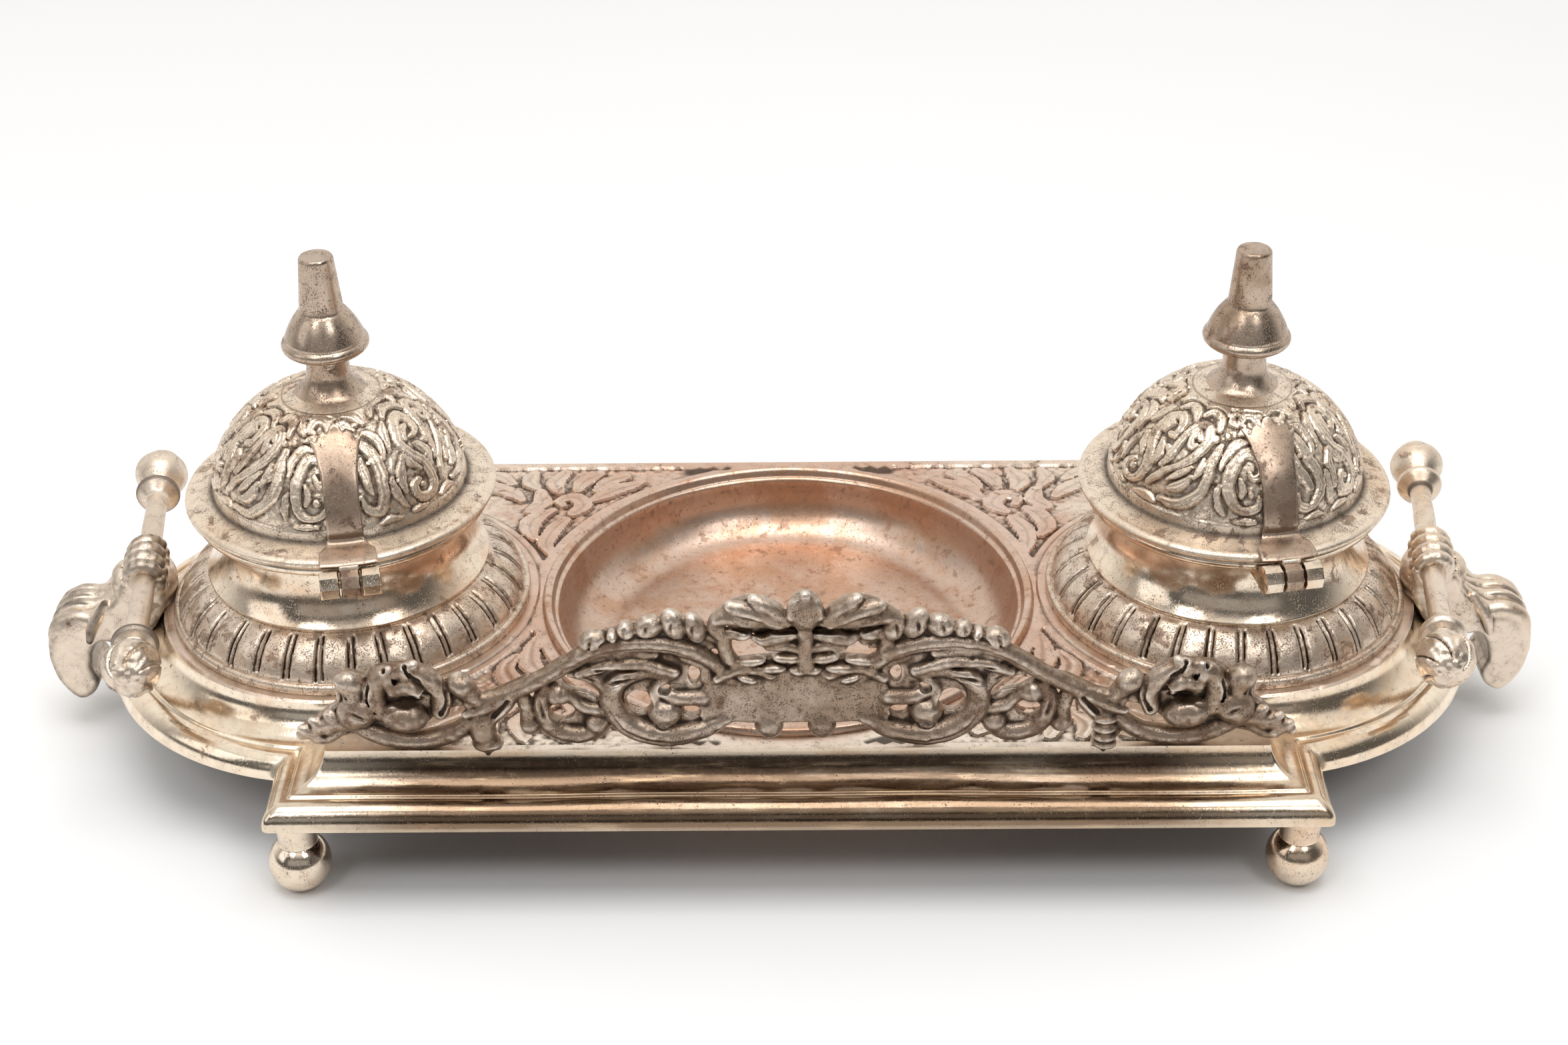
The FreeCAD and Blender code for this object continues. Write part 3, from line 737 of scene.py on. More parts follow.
FASTENER = worn_metal(
    "fastener_brass", plate=(0.60, 0.46, 0.26), golden=(0.50, 0.36, 0.18),
    worn=0.6, spotted=0.6, rough=0.35)
GLASS = glass()


# ---- tray --------------------------------------------------------------------------------
def mould_profile():
    """(distance inside the edge, height) up the outside of the moulding."""
    return profile((0, TRAY_BOTTOM), (0, TRAY_BOTTOM + 0.6),
                   (1.1, TRAY_BOTTOM + 3.3, 4.6, TRAY_BOTTOM + 4.5), (5.05, TRAY_BOTTOM + 5.0),
                   (8.9, TRAY_BOTTOM + 6.3, MOULD_W, TRAY_TOP), soft=0.2, fine=0.35)


def hollow_profile():
    """(distance inside the edge, height) up the hollow beneath, from the moulding's lower edge."""
    return profile((2.2, TRAY_BOTTOM), (2.2, TRAY_BOTTOM + 1.2), (5.2, TRAY_BOTTOM + 3.0),
                   (8.5, TRAY_BOTTOM + 4.3), (MOULD_W + 1.5, TRAY_TOP - SHELL), soft=0.3)


def in_steps(stops, counts):
    """Even steps from stop to stop, leaving out the first stop."""
    return [v for a, b, n in zip(stops, stops[1:], counts) for v in np.linspace(a, b, n + 1)[1:]]


def tray_loop(inset):
    """The tray's outline moved in by inset: a rectangle with a round lobe at each end, and worn corners."""
    b, r = TRAY_HALF_Y - inset, LOBE_R - inset
    ends = {side: TRAY_HALF_X - inset + side * TRAY_SHIFT for side in (1, -1)}
    wing = {side: math.acos((ends[side] - POT_X) / r) for side in ends}
    loop = []
    corner = 2.0            # points lie closer over this length at a corner
    for side in (1, -1):
        a, far = side * ends[side], -side * ends[-side]
        loop += [(side * (POT_X + r * math.cos(t)), side * r * math.sin(t))
                 for t in np.linspace(-wing[side], wing[side], 161)]
        up = (r * math.sin(wing[side]), b - corner, b)
        along = (a, a - side * corner, far + side * corner, far)
        down = (b, b - corner, r * math.sin(wing[-side]))
        loop += [(a, side * y) for y in in_steps(up, (17, 5))]
        loop += [(x, side * b) for x in in_steps(along, (5, 176, 5))]
        loop += [(far, side * y) for y in in_steps(down, (5, 17))[:-1]]
    loop = np.array(loop)
    worn = 1.5 - 0.9 * smooth(inset, 1.0, 4.0)
    x, y = loop[:, 0] - TRAY_SHIFT, loop[:, 1]
    u, v = np.abs(x) - (TRAY_HALF_X - inset - worn), np.abs(y) - (b - worn)
    tip = (u > 0) & (v > 0)
    size = np.maximum(np.hypot(u, v), 1e-9)
    loop[tip, 0] += (np.sign(x) * u * (worn / size - 1))[tip]
    loop[tip, 1] += (np.sign(y) * v * (worn / size - 1))[tip]
    return loop


def ring_of_points(x, radius, count):
    """Flat points on a circle about (x, 0)."""
    t = np.arange(count) * 2 * math.pi / count
    return np.stack([x + radius * np.cos(t), radius * np.sin(t)], 1)


def grid_points(x_span, y_span, step):
    """Flat points in staggered columns."""
    x, y = np.meshgrid(np.arange(*x_span, step), np.arange(*y_span, step), indexing="ij")
    y = y + 0.5 * step * (np.arange(x.shape[0]) % 2)[:, None]
    return np.stack([x.ravel(), y.ravel()], 1)


def stroke_height(points, strokes, aspect=None, ribs=0.0):
    """How far up a raised stroke each point lies, 0 to 1. A stroke is a smooth line of (x, y, half width).
    aspect gives each point's true length of one unit of x. Wide strokes carry slanting ribs, ribs deep."""
    step, ribbed_from, rib_pitch = 0.35, 0.95, 1.25
    best = np.zeros(len(points))
    scale = np.ones(len(points)) if aspect is None else aspect
    for stroke in strokes:
        line = curve_through([(x, y, 0.0, w) for x, y, w in stroke], step)
        wide = line[:, 3].max() + 0.2
        low, high = line[:, 1].min() - wide, line[:, 1].max() + wide
        index = np.flatnonzero((points[:, 1] > low) & (points[:, 1] < high))
        p, s = points[index], scale[index]
        high = np.zeros(len(index))
        along = np.zeros(len(index))
        for i, (x, y, _, w) in enumerate(line):
            away = np.hypot((p[:, 0] - x) * s, p[:, 1] - y) / max(w, 0.05)
            nearer = 1 - away * away > high
            high = np.where(nearer, 1 - away * away, high)
            along = np.where(nearer, step * i + 1.1 * away * w, along)
        level = np.sqrt(np.clip(high, 0, 1))
        if ribs and line[:, 3].max() > ribbed_from:
            rib = 0.5 + 0.5 * np.cos(2 * math.pi * along / rib_pitch)
            level = level * (1 - ribs * rib * (1 - level ** 4))
        best[index] = np.maximum(best[index], level)
    return best


# The hole for the dish.
DISH_EDGE = ring_of_points(0, DISH_HOLE_R, 260)
# One quarter of the flat top: scrolls and leaves round the dish's far corner, (x, y, half width).
SPANDREL = [
    [(50.6, 16.0, 0.8), (51.6, 20.0, 1.8), (51.0, 25.0, 2.3), (48.6, 29.4, 1.6)],
    [(54.4, 22.4, 1.0), (56.0, 26.6, 2.2), (54.6, 31.0, 2.4), (51.6, 33.6, 1.2)],
    [(47.0, 32.4, 1.4), (45.0, 36.2, 2.3), (47.4, 39.6, 1.8), (50.2, 38.0, 1.3), (49.4, 35.8, 1.0)],
    [(56.6, 34.2, 1.4), (54.0, 37.4, 2.4), (54.6, 41.6, 1.6)],
    [(43.2, 38.4, 1.0), (39.6, 41.8, 2.3), (35.4, 44.4, 2.0), (31.8, 46.4, 0.8)],
    [(42.6, 42.6, 1.0), (40.0, 46.4, 2.1), (36.2, 48.8, 1.6)],
    [(46.6, 42.6, 1.2), (45.4, 46.6, 2.2), (42.6, 49.8, 1.6)],
    [(50.4, 42.0, 1.2), (51.6, 46.0, 2.3), (50.0, 50.2, 1.5)],
    [(55.8, 43.8, 1.2), (57.6, 47.0, 2.1), (56.6, 50.4, 1.3)],
    [(58.8, 38.6, 1.2), (61.6, 41.8, 2.2), (66.0, 45.0, 2.0), (69.8, 48.2, 1.0)],
    [(61.6, 46.2, 1.2), (64.4, 49.0, 1.8), (67.6, 50.6, 0.8)],
]


def spandrel_height(points):
    """Height of the flat top's chased corners: leaves stay at 0 and the ground is sunk."""
    quarter = np.abs(points)
    x, y = quarter[:, 0], quarter[:, 1]
    inside = smooth(np.hypot(x, y), DISH_R + 2.4, DISH_R + 3.0)
    inside *= smooth(np.hypot(x - POT_X, y), SEAT_R + 1.6, SEAT_R + 2.2)
    inside *= smooth(52.6 - y, 0.0, 0.5) * smooth(y - 13.0, 0.0, 1.0) * smooth(76.0 - x, 0.0, 2.0)
    warp = in_plane(points)
    shift = np.stack([lattice_noise(warp, 5.0, 11), lattice_noise(warp, 5.0, 12)], 1)
    leaves = stroke_height(quarter + 0.5 * shift, SPANDREL)
    vein = 0.16 * np.exp(-((leaves - 1.0) / 0.03) ** 2)
    pits = 0.16 * lattice_noise(warp, 0.9, 13) * (1 - smooth(leaves, 0.0, 0.4))
    return inside * (-0.62 + smooth(leaves, 0.02, 0.35) * 0.64 - vein + pits)


def tray_top(edge):
    """Points and triangles of the flat top inside the moulding's top edge, finer at the corners."""
    seats = [ring_of_points(side * POT_X, r, 200) for side in (-1, 1) for r in (SEAT_R + 0.15, SEAT_R - 0.25)]
    coarse = grid_points((-140, 140), (-56, 56), 1.6)
    across = np.abs(coarse)
    chased = (across[:, 0] > 23.6) & (across[:, 0] < 78.4) & (across[:, 1] > 11.6)
    fine = grid_points((24, 78), (12, 54), 0.36)
    spread = np.vstack([coarse[~chased]] + [fine * (sx, sy) for sx in (-1, 1) for sy in (-1, 1)])
    for x in (-POT_X, POT_X):
        spread = spread[np.abs(np.hypot(spread[:, 0] - x, spread[:, 1]) - SEAT_R) > 0.6]
    flat, faces = filled(edge[:, :2], MOULD_W, DISH_EDGE, np.vstack([spread] + seats))
    seat_rise = sum(smooth(SEAT_R + 0.1 - np.hypot(flat[:, 0] - x, flat[:, 1]), 0.0, 0.3)
                    for x in (-POT_X, POT_X)) * (SEAT_Z - TRAY_TOP)
    height = TRAY_TOP + seat_rise + spandrel_height(flat)
    n = len(edge)
    height[:n] = edge[:, 2]
    uneven = 0.04 * lattice_noise(np.column_stack([flat, height]), 9.0, 22)
    uneven[:n] = 0
    return np.column_stack([flat, height + uneven]), faces


def base_tray():
    """The cast tray: moulded edge, flat top with chased corners, and the hollow beneath."""
    rings = []
    for d, z in finely(mould_profile(), 0.5):
        loop = tray_loop(d)
        wave = 0.32 * lattice_noise(in_plane(loop), 26.0, 21)
        rings.append(np.column_stack([loop, z + wave * smooth(d, 1.0, 5.0) * smooth(11.0 - d, 0.0, 4.0)]))
    top, top_faces = tray_top(rings[-1])
    n = len(rings[0])
    under_loops = [np.column_stack([tray_loop(d), np.full(n, z)]) for d, z in hollow_profile()]
    ceiling, low_faces = filled(under_loops[-1][:, :2], MOULD_W + 1.5, DISH_EDGE,
                                grid_points((-140, 140), (-56, 56), 6.0))
    roof_points = np.column_stack([ceiling, np.full(len(ceiling), TRAY_TOP - SHELL)])
    # the first points of the top and of the roof are the last of the rings and of the loops
    start = n * (len(rings) - 1)
    under = start + len(top)
    roof = under + n * (len(under_loops) - 1)
    faces = []
    for i in range(len(rings) - 1):
        faces += band(i * n, (i + 1) * n, n)
    faces += (top_faces + start).tolist() + band(under, 0, n)
    for i in range(len(under_loops) - 1):
        faces += band(under + (i + 1) * n, under + i * n, n)
    faces += (low_faces[:, ::-1] + roof).tolist() + band(roof + n, start + n, len(DISH_EDGE))
    boss = revolved(profile((0, 18.25), (4.9, 18.25), (4.4, 19.2), (3.2, 21.0), (0, 22.0)), 48, None)
    bosses = [(boss[0] + np.array([x, y, 0]), boss[1]) for x, y in FEET.values()]
    points = np.vstack(rings[:-1] + [top] + under_loops[:-1] + [roof_points])
    points, faces = combined((points, faces), *bosses)
    return new_object("base_tray_body", points, faces, reach=1.4, sharp=32)


def centre_dish():
    """A spun bowl whose bead rests on the tray."""
    points = profile((0, 15.2), (36.5, 15.2), (44.9, 17.2, 48.0, 23.6), (48.9, 24.6), (48.9, TRAY_TOP),
                     (DISH_R, TRAY_TOP), (49.6, 30.4, 48.5, 29.3), (48.2, 28.6),
                     (47.6, 28.4, 47.3, 27.8), (47.0, 25.6), (46.6, 23.8),
                     (43.5, 18.7, 36.5, 16.6), (0, 16.6), soft=0.3, fine=0.6)
    points = finely(points, 1.2)

    def swell(angle, i):
        around = round_axis(points[i, 0], angle, 0.0)
        return 0.10 * lattice_noise(around, 11.0, 41) + 0.012 * lattice_noise(around, 2.2, 42)
    return turned_object("centre_dish_bowl", points, lambda p: p, 260, swell)


def foot(name, x, y):
    """A ball foot with a flaring neck."""
    points = profile((0, 0), (1.6, 0), (BALL_R, 5.9, 3.8, 10.6), (3.75, 10.8), (4.0, 14.0, 4.9, TRAY_BOTTOM),
                     (4.9, 18.6), (0, 18.6), fine=0.4, soft=0.12)
    return turned_object(name, points, lambda p: p + np.array([x, y, 0]), 72, None, 1.0, 0.07)


FEET = {(side_name, end_name): (TRAY_SHIFT + side * FOOT_X, end * FOOT_Y)
        for side_name, side in SIDES for end_name, end in (("rear", -1), ("front", 1))}


# ---- ink pots, in the frame of a pot on the Z axis -----------------------------------------
FLUTES = 33


def pot_skirt(side_name, place):
    """The raised ring: pairs of chased grooves between plain lobes, all round its shoulder."""
    points = profile((33.4, SEAT_Z), (POT_FOOT_R, SEAT_Z), (POT_FOOT_R, 30.5), (36.3, 31.1, 35.4, 31.2),
                     (33.0, 35.5, 28.4, SKIRT_TOP), (26.6, SKIRT_TOP), (26.6, 37.3), (31.4, 34.2),
                     (33.4, 30.8), (33.4, SEAT_Z), fine=0.25)
    points = finely(points, 0.6)
    shoulder = np.arange(len(points)) < np.argmax(points[:, 1])
    lean, reach, depth = np.random.default_rng(len(side_name)).normal(0, 1, (3, 2, FLUTES))

    def swell(angle, i):
        up = (points[i, 1] - 31.3) / (SKIRT_TOP - 31.3)
        if not (shoulder[i] and 0 < up < 1):
            return np.zeros(len(angle))
        turn = angle / (2 * math.pi) * FLUTES
        around = round_axis(34.0, angle, 1.6 * points[i, 1])
        uneven = lattice_noise(around, 1.1, 31)
        k = np.floor(turn).astype(int) % FLUTES
        u = turn - np.floor(turn)
        lobe = np.sqrt(np.clip(1 - (np.minimum(u, 1 - u) / 0.385) ** 2, 0, 1))
        push = 0.16 * lobe * smooth(up, 0.0, 0.12) * smooth(1 - up, 0.0, 0.10)
        for pair, sign in enumerate((-1, 1)):
            tilt = 0.045 * lean[pair, k] * (up - 0.5)
            middle = 0.5 + sign * 0.095 + tilt + 0.010 * depth[1 - pair, k] + 0.016 * uneven
            ends = smooth(up, 0.02 + 0.02 * reach[pair, k], 0.10 + 0.02 * reach[pair, k])
            ends = ends * smooth(1 - up, 0.02, 0.09 + 0.03 * reach[1 - pair, k])
            cut = (0.58 + 0.12 * depth[pair, k]) * (1 + 0.35 * uneven)
            push = push - cut * ends * np.exp(-((u - middle) / 0.047) ** 2)
        return push + 0.035 * uneven
    return turned_object(side_name + "_pot_shoulder", points, place, FLUTES * 22, swell, 0.8, 0.02)


def pot_body(side_name, place):
    """The spun cup: a waisted neck and a rolled rim."""
    points = profile((0, SEAT_Z), (26.2, SEAT_Z), (26.2, SKIRT_TOP), (28.4, SKIRT_TOP), (28.6, 39.3),
                     (25.7, 43.6, NECK_R, 49.8), (25.8, 51.9, 29.1, 52.3), (RIM_R, 53.4, 29.1, POT_TOP),
                     (25.4, POT_TOP), (25.4, 53.2), (23.4, 53.2), (23.4, SEAT_Z + 2), (0, SEAT_Z + 2),
                     fine=0.35)
    return turned_object(side_name + "_pot_cup", finely(points, 1.0), place, 224)


def ink_liner(side_name, place):
    """A glass well with a flat lip that hangs from the pot's rim."""
    points = profile((0, 34.3), (21.3, 34.3), (22.5, 34.8, 23.0, 36.0), (23.0, 53.2), (25.2, 53.2),
                     (25.2, 54.0), (25.0, 54.35, 24.6, 54.4), (21.4, 54.4), (20.9, 54.2, 20.8, 53.6),
                     (20.8, 38.2), (20.3, 37.1, 19.2, 36.6), (0, 36.6), fine=0.3)
    return turned_object(side_name + "_glass_well", finely(points, 1.5), place, 128, None, 1.2, 0.06)


def knuckle(low, high):
    """A rolled hinge knuckle along X, with slightly flattened sides."""
    corners = [(0.3, low), (KNUCKLE_R, low), (KNUCKLE_R, high), (0.3, high), (0.3, low)]
    points = finely(np.array(softened(corners, 0.35)), 0.5)
    flat, turn = math.pi / 8, 0.2           # half of each side's angle, and where the first side starts

    def swell(angle, i):
        part = (angle + turn) % (2 * flat) - flat
        inset = 0.9 * points[i, 0] * (1 - math.cos(flat) / np.cos(part))
        return -inset * (points[i, 0] > 2)
    verts, faces = revolved(points, 64, swell)
    return np.stack([verts[:, 2], HINGE_Y + verts[:, 1], HINGE_Z - verts[:, 0]], 1), faces


def hinge_knuckles(side_name, place):
    """Two knuckles, each on a leaf that is soldered under the pot's rim."""
    parts = []
    for low, high in ((-KNUCKLE_HALF, -TONGUE_HALF - 0.3), (TONGUE_HALF + 0.3, KNUCKLE_HALF)):
        leaf_low = (low + 0.1, HINGE_Y + 0.5, HINGE_Z - 2.3)
        leaf_high = (high - 0.1, HINGE_Y + 7.0, HINGE_Z + 0.1)
        parts += [knuckle(low, high), block(leaf_low, leaf_high, 0.35)]
    points, faces = combined(*parts)
    return new_object(side_name + "_hinge_barrels", place(points), faces, 0.8, 30)


# ---- lids, in the same frame -----------------------------------------------------------------
def dome_point(degrees, grow=0.0):
    """(r, z) on the dome, degrees up from its foot, grow mm outside it."""
    t = math.radians(degrees)
    return (DOME_A + grow) * math.cos(t), DOME_Z + (DOME_B + grow) * math.sin(t)


# The embossing's two motifs, which take turns round the dome, each one sixth of it:
# (along the foot of the dome, up it, half width) in mm.
MOTIF_W = 2 * math.pi * DOME_A / 6


def berry(x, y, r, rise=0.0):
    """A round dot, as a stroke."""
    return [(x, y, r), (x + 0.1, y + rise, r)]


SECOND_MOTIF = [
    # an S scroll, a pear-shaped leaf with a curl in it, and a C scroll with leaves
    [(4.4, 6.6, 0.6), (3.0, 5.4, 0.8), (3.6, 3.2, 0.9), (6.4, 2.8, 1.0), (8.4, 5.4, 1.1), (8.0, 9.2, 1.2),
     (5.8, 12.8, 1.2), (6.0, 17.0, 1.2), (9.0, 19.4, 1.1), (12.0, 18.2, 1.0), (12.2, 15.4, 0.8),
     (10.4, 14.6, 0.7)],
    [(11.0, 4.2, 0.6), (13.4, 7.6, 0.8), (17.2, 10.4, 0.9), (21.2, 13.8, 1.0), (22.0, 17.6, 1.0),
     (19.2, 19.6, 0.9), (15.8, 17.2, 0.9), (14.2, 12.8, 0.9), (12.2, 8.6, 0.6)],
    [(20.2, 16.6, 0.6), (18.8, 17.6, 0.7), (17.6, 16.2, 0.7), (18.6, 14.8, 0.8), (19.8, 15.2, 0.5)],
    [(14.2, 2.0, 0.6), (18.4, 2.2, 0.9), (22.4, 4.2, 1.1), (24.6, 8.0, 1.1), (24.8, 12.0, 1.0),
     (25.6, 15.6, 0.7)],
    # leaves between them
    [(16.0, 4.6, 0.5), (18.4, 5.6, 1.1), (20.6, 8.4, 0.5)],
    [(15.2, 6.2, 0.4), (17.4, 8.2, 0.9), (20.4, 10.6, 0.4)],
    [(21.4, 8.0, 0.4), (22.6, 10.4, 0.9), (23.0, 12.6, 0.4)],
    [(9.8, 8.0, 0.5), (10.6, 10.8, 1.1), (9.6, 12.8, 0.5)],
    [(0.8, 5.2, 0.5), (1.2, 9.0, 1.0), (3.2, 12.0, 0.5)],
    [(1.2, 14.2, 0.5), (2.0, 17.6, 1.1), (4.2, 20.0, 0.5)],
    [(8.8, 1.2, 0.5), (11.2, 1.6, 0.9), (13.2, 1.1, 0.4)],
    [(0.6, 1.4, 0.4), (2.6, 1.3, 0.8), (4.6, 1.1, 0.4)],
    [(5.8, 8.6, 0.5), (4.6, 10.2, 0.9), (3.8, 12.2, 0.4)],
    [(7.8, 14.4, 0.5), (8.4, 16.8, 0.9), (10.0, 17.2, 0.4)],
    # leaves towards the knob
    [(6.4, 20.8, 0.5), (9.6, 22.4, 1.0), (13.6, 21.6, 1.0), (15.6, 19.6, 0.6)],
    [(3.0, 22.4, 0.6), (5.6, 24.6, 1.0), (9.8, 25.2, 0.9), (13.2, 24.0, 0.5)],
    [(17.4, 21.4, 0.6), (20.0, 22.8, 1.0), (23.4, 21.6, 1.0), (24.2, 18.8, 0.7)],
    [(15.6, 23.6, 0.5), (19.0, 25.4, 1.0), (23.4, 24.8, 0.8), (26.0, 22.6, 0.4)],
    [(4.0, 27.6, 0.5), (9.6, 28.0, 0.9), (14.6, 27.0, 0.5)],
    [(17.6, 28.2, 0.5), (21.6, 28.0, 0.9), (25.4, 26.8, 0.5)],
    berry(12.4, 12.4, 0.7, 0.1), berry(23.8, 17.0, 0.7), berry(5.0, 5.4, 0.6),
]
MOTIF = [
    # a large and a smaller C scroll, both with curled ends
    [(9.0, 6.4, 0.6), (8.4, 4.2, 0.8), (5.6, 3.4, 0.9), (3.4, 6.4, 1.1), (3.2, 11.0, 1.2), (5.0, 15.6, 1.2),
     (9.0, 17.8, 1.1), (12.8, 16.6, 1.0), (13.4, 13.6, 0.9), (11.2, 12.4, 0.8), (10.0, 13.8, 0.7)],
    [(16.4, 6.0, 0.6), (17.6, 3.8, 0.8), (21.0, 3.4, 0.9), (23.6, 6.6, 1.1), (23.4, 11.4, 1.2),
     (20.6, 14.6, 1.1), (16.8, 13.8, 0.9), (16.2, 11.0, 0.8), (18.2, 9.8, 0.7), (19.4, 11.0, 0.6)],
    # a flower between them
    berry(12.7, 8.4, 0.9, 0.1),
    [(13.0, 10.2, 0.4), (13.2, 11.3, 0.7)],
    [(11.2, 9.2, 0.4), (10.0, 10.0, 0.8)],
    [(11.4, 7.4, 0.4), (10.2, 6.6, 0.8)],
    [(13.0, 6.6, 0.4), (13.2, 5.2, 0.9)],
    [(14.3, 8.6, 0.4), (15.4, 8.6, 0.8)],
    # leaves that leave the scrolls
    [(6.0, 6.6, 0.4), (6.8, 9.0, 1.0), (7.4, 11.8, 1.1), (7.6, 14.2, 0.5)],
    [(0.2, 3.0, 0.6), (1.0, 5.6, 0.9), (0.9, 8.6, 0.5)],
    [(1.6, 13.0, 0.5), (0.8, 15.6, 1.0), (2.2, 18.2, 0.9), (4.6, 19.2, 0.4)],
    [(10.4, 1.2, 0.5), (12.8, 2.2, 1.1), (15.2, 1.6, 0.5)],
    [(14.8, 15.4, 0.5), (16.4, 17.8, 1.2), (19.8, 19.0, 1.1), (22.6, 18.2, 0.4)],
    [(20.0, 16.6, 0.5), (23.0, 16.2, 1.1), (25.4, 13.8, 0.9), (25.8, 11.2, 0.4)],
    [(21.2, 6.0, 0.4), (20.8, 7.8, 0.8), (21.6, 9.6, 0.4)],
    [(24.8, 2.4, 0.5), (26.0, 5.0, 0.9), (25.6, 7.8, 0.4)],
    [(2.0, 1.0, 0.5), (4.2, 1.4, 0.8), (6.6, 1.1, 0.4)],
    [(18.2, 1.3, 0.5), (20.4, 1.2, 0.8), (22.6, 1.1, 0.4)],
    # smaller scrolls and buds towards the knob
    [(7.0, 20.4, 0.5), (9.6, 21.8, 1.0), (12.8, 20.8, 1.0), (13.4, 18.8, 0.6)],
    [(2.4, 21.4, 0.6), (4.4, 23.6, 1.0), (8.4, 24.4, 1.0), (11.6, 23.4, 0.6)],
    [(15.2, 20.6, 0.6), (17.0, 22.8, 1.0), (20.6, 23.0, 1.0), (22.2, 21.0, 0.7), (20.6, 20.4, 0.5)],
    [(23.4, 20.0, 0.5), (25.4, 21.2, 1.0), (26.4, 23.0, 0.8)],
    [(12.6, 24.2, 0.5), (15.8, 25.4, 1.0), (19.8, 25.6, 0.8), (22.6, 24.6, 0.4)],
    [(2.0, 26.6, 0.5), (6.4, 27.4, 0.9), (11.0, 27.2, 0.5)],
    [(14.6, 28.0, 0.5), (19.6, 28.4, 0.9), (24.6, 27.2, 0.5)],
    berry(5.6, 21.6, 0.7), berry(14.6, 23.0, 0.7), berry(24.0, 23.6, 0.7), berry(26.2, 17.6, 0.8),
    berry(5.6, 12.8, 0.5), berry(18.8, 6.6, 0.7, 0.1),
]
FINIAL_FLARE_R = 9.9


def embossing(rows, segments, seed):
    """Heights in mm of the dome's embossing, for outline rows of (r, distance up the dome)."""
    angle = np.arange(segments) * 2 * math.pi / segments
    r = np.repeat(rows[:, 0], segments)
    up = np.repeat(rows[:, 1], segments)
    turn = np.tile(angle, len(rows))
    around = round_axis(r, turn, up)

    along = turn * DOME_A + 0.9 * lattice_noise(around, 7.0, seed)
    along = along + 0.28 * lattice_noise(around, 2.0, seed + 4)
    up = up + 0.8 * lattice_noise(around, 6.0, seed + 1) + 0.28 * lattice_noise(around, 2.0, seed + 5)
    cell = np.floor(along / MOTIF_W).astype(int)
    along = along - cell * MOTIF_W
    along = np.where(cell % 3 == 1, MOTIF_W - along, along)
    places = np.column_stack([along, up])
    first, second = (stroke_height(places, [[(x, y, 1.15 * w) for x, y, w in stroke] for stroke in motif],
                                   r / DOME_A, ribs=0.22) for motif in (MOTIF, SECOND_MOTIF))
    shape = np.where(cell % 2 == 0, first, second)
    ribbed = smooth(shape, 0.0, 0.85) - 0.12 * smooth(shape, 0.965, 0.999)
    pits = 0.6 * lattice_noise(around, 0.7, seed + 2) + 0.5 * lattice_noise(around, 1.5, seed + 3)
    height = -0.27 + 0.66 * ribbed + 0.17 * pits * (1 - 0.6 * shape)
    fade = smooth(rows[:, 1], 0.1, 0.9) * smooth(rows[:, 0], FINIAL_FLARE_R - 0.2, FINIAL_FLARE_R + 1.6)
    return height.reshape(len(rows), segments) * fade[:, None]


def lid_dome(side_name, place, seed):
    """The embossed dome with its plain brim, one thin shell."""
    inner = [dome_point(t, -DOME_T) for t in np.linspace(90, 3, 40)]
    inner[0] = (0.0, inner[0][1])
    brim = profile((24.0, 56.6), (24.0, LID_LOW), (30.2, LID_LOW), (LID_R, 55.6, 30.6, 56.4),
                   (30.0, 56.62), (29.6, 56.60), (26.0, 57.3), (25.45, 57.5), dome_point(7),
                   fine=0.3, soft=0.15)
    outer = finely(np.array([dome_point(t) for t in np.linspace(7, 90, 90)]), 0.26)
    outer[-1, 0] = 0.0
    points = np.vstack([inner, finely(brim, 0.8), outer[1:]])
    start = len(points) - len(outer)
    up = np.concatenate([[0], np.cumsum(np.linalg.norm(np.diff(outer, axis=0), axis=1))])
    segments = 640
    height = embossing(np.column_stack([outer[:, 0], up]), segments, seed)

    def swell(angle, i):
        return height[i - start] if i >= start else np.zeros(segments)
    return turned_object(side_name + "_lid_shell", points, place, segments, swell, 1.1, 0.02)


def lid_finial(side_name, place):
    """Turned knob: a trumpet foot, a bell-shaped collar and a plain tapered end."""
    points = profile((0, 76.0), (9.5, 76.6), (FINIAL_FLARE_R, 77.15), (5.7, 79.0, 4.25, 82.8), (4.1, 85.6),
                     (5.4, 86.3, 7.7, 86.8), (8.2, 87.2), (8.6, 88.1, 8.15, 89.0), (7.85, 89.2),
                     (7.85, 89.6), (6.5, 92.55, 4.75, 95.0),
                     (4.4, 95.3), (4.25, 95.9), (3.4, 106.1), (3.1, FINIAL_TOP), (0, FINIAL_TOP),
                     soft=0.2, fine=0.3)
    return turned_object(side_name + "_finial_knob", finely(points, 0.7), place, 128, None, 1.0, 0.06)


def lid_path():
    """(r, z) up the lid from just outside its brim to the top of the dome."""
    return np.array([(33.2, 55.6), (31.2, 56.35), (29.8, 56.62), (26.4, 57.3), (25.5, 58.0)]
                    + [dome_point(t) for t in np.linspace(9, 80, 60)])


# Half of the strap's plan, (half width, distance from the pot's axis), from the hinge to the crown's point.
STRAP = [(5.6, 32.6), (5.6, 31.2), (5.3, 29.0), (4.2, 27.4), (3.5, 25.6), (3.35, 23.4), (3.6, 21.0),
         (4.3, 18.8), (5.4, 16.5), (4.8, 17.2), (3.9, 17.5), (3.1, 16.3), (2.3, 15.9), (1.6, 16.2),
         (0.9, 15.1), (0.0, 14.6)]


def strap_outline(s_of, path, longer):
    """The strap's outline laid flat: (across, distance up the lid's path)."""
    half = [(w, np.interp(longer * float(smooth(24.0 - r, 0.0, 6.0)) - r, -path[:, 0], s_of))
            for w, r in STRAP]
    outline = np.array([(-w, s) for w, s in half[:-1]] + [(w, s) for w, s in reversed(half)])
    return finely(np.vstack([outline, outline[:1]]), 0.3)[:-1]


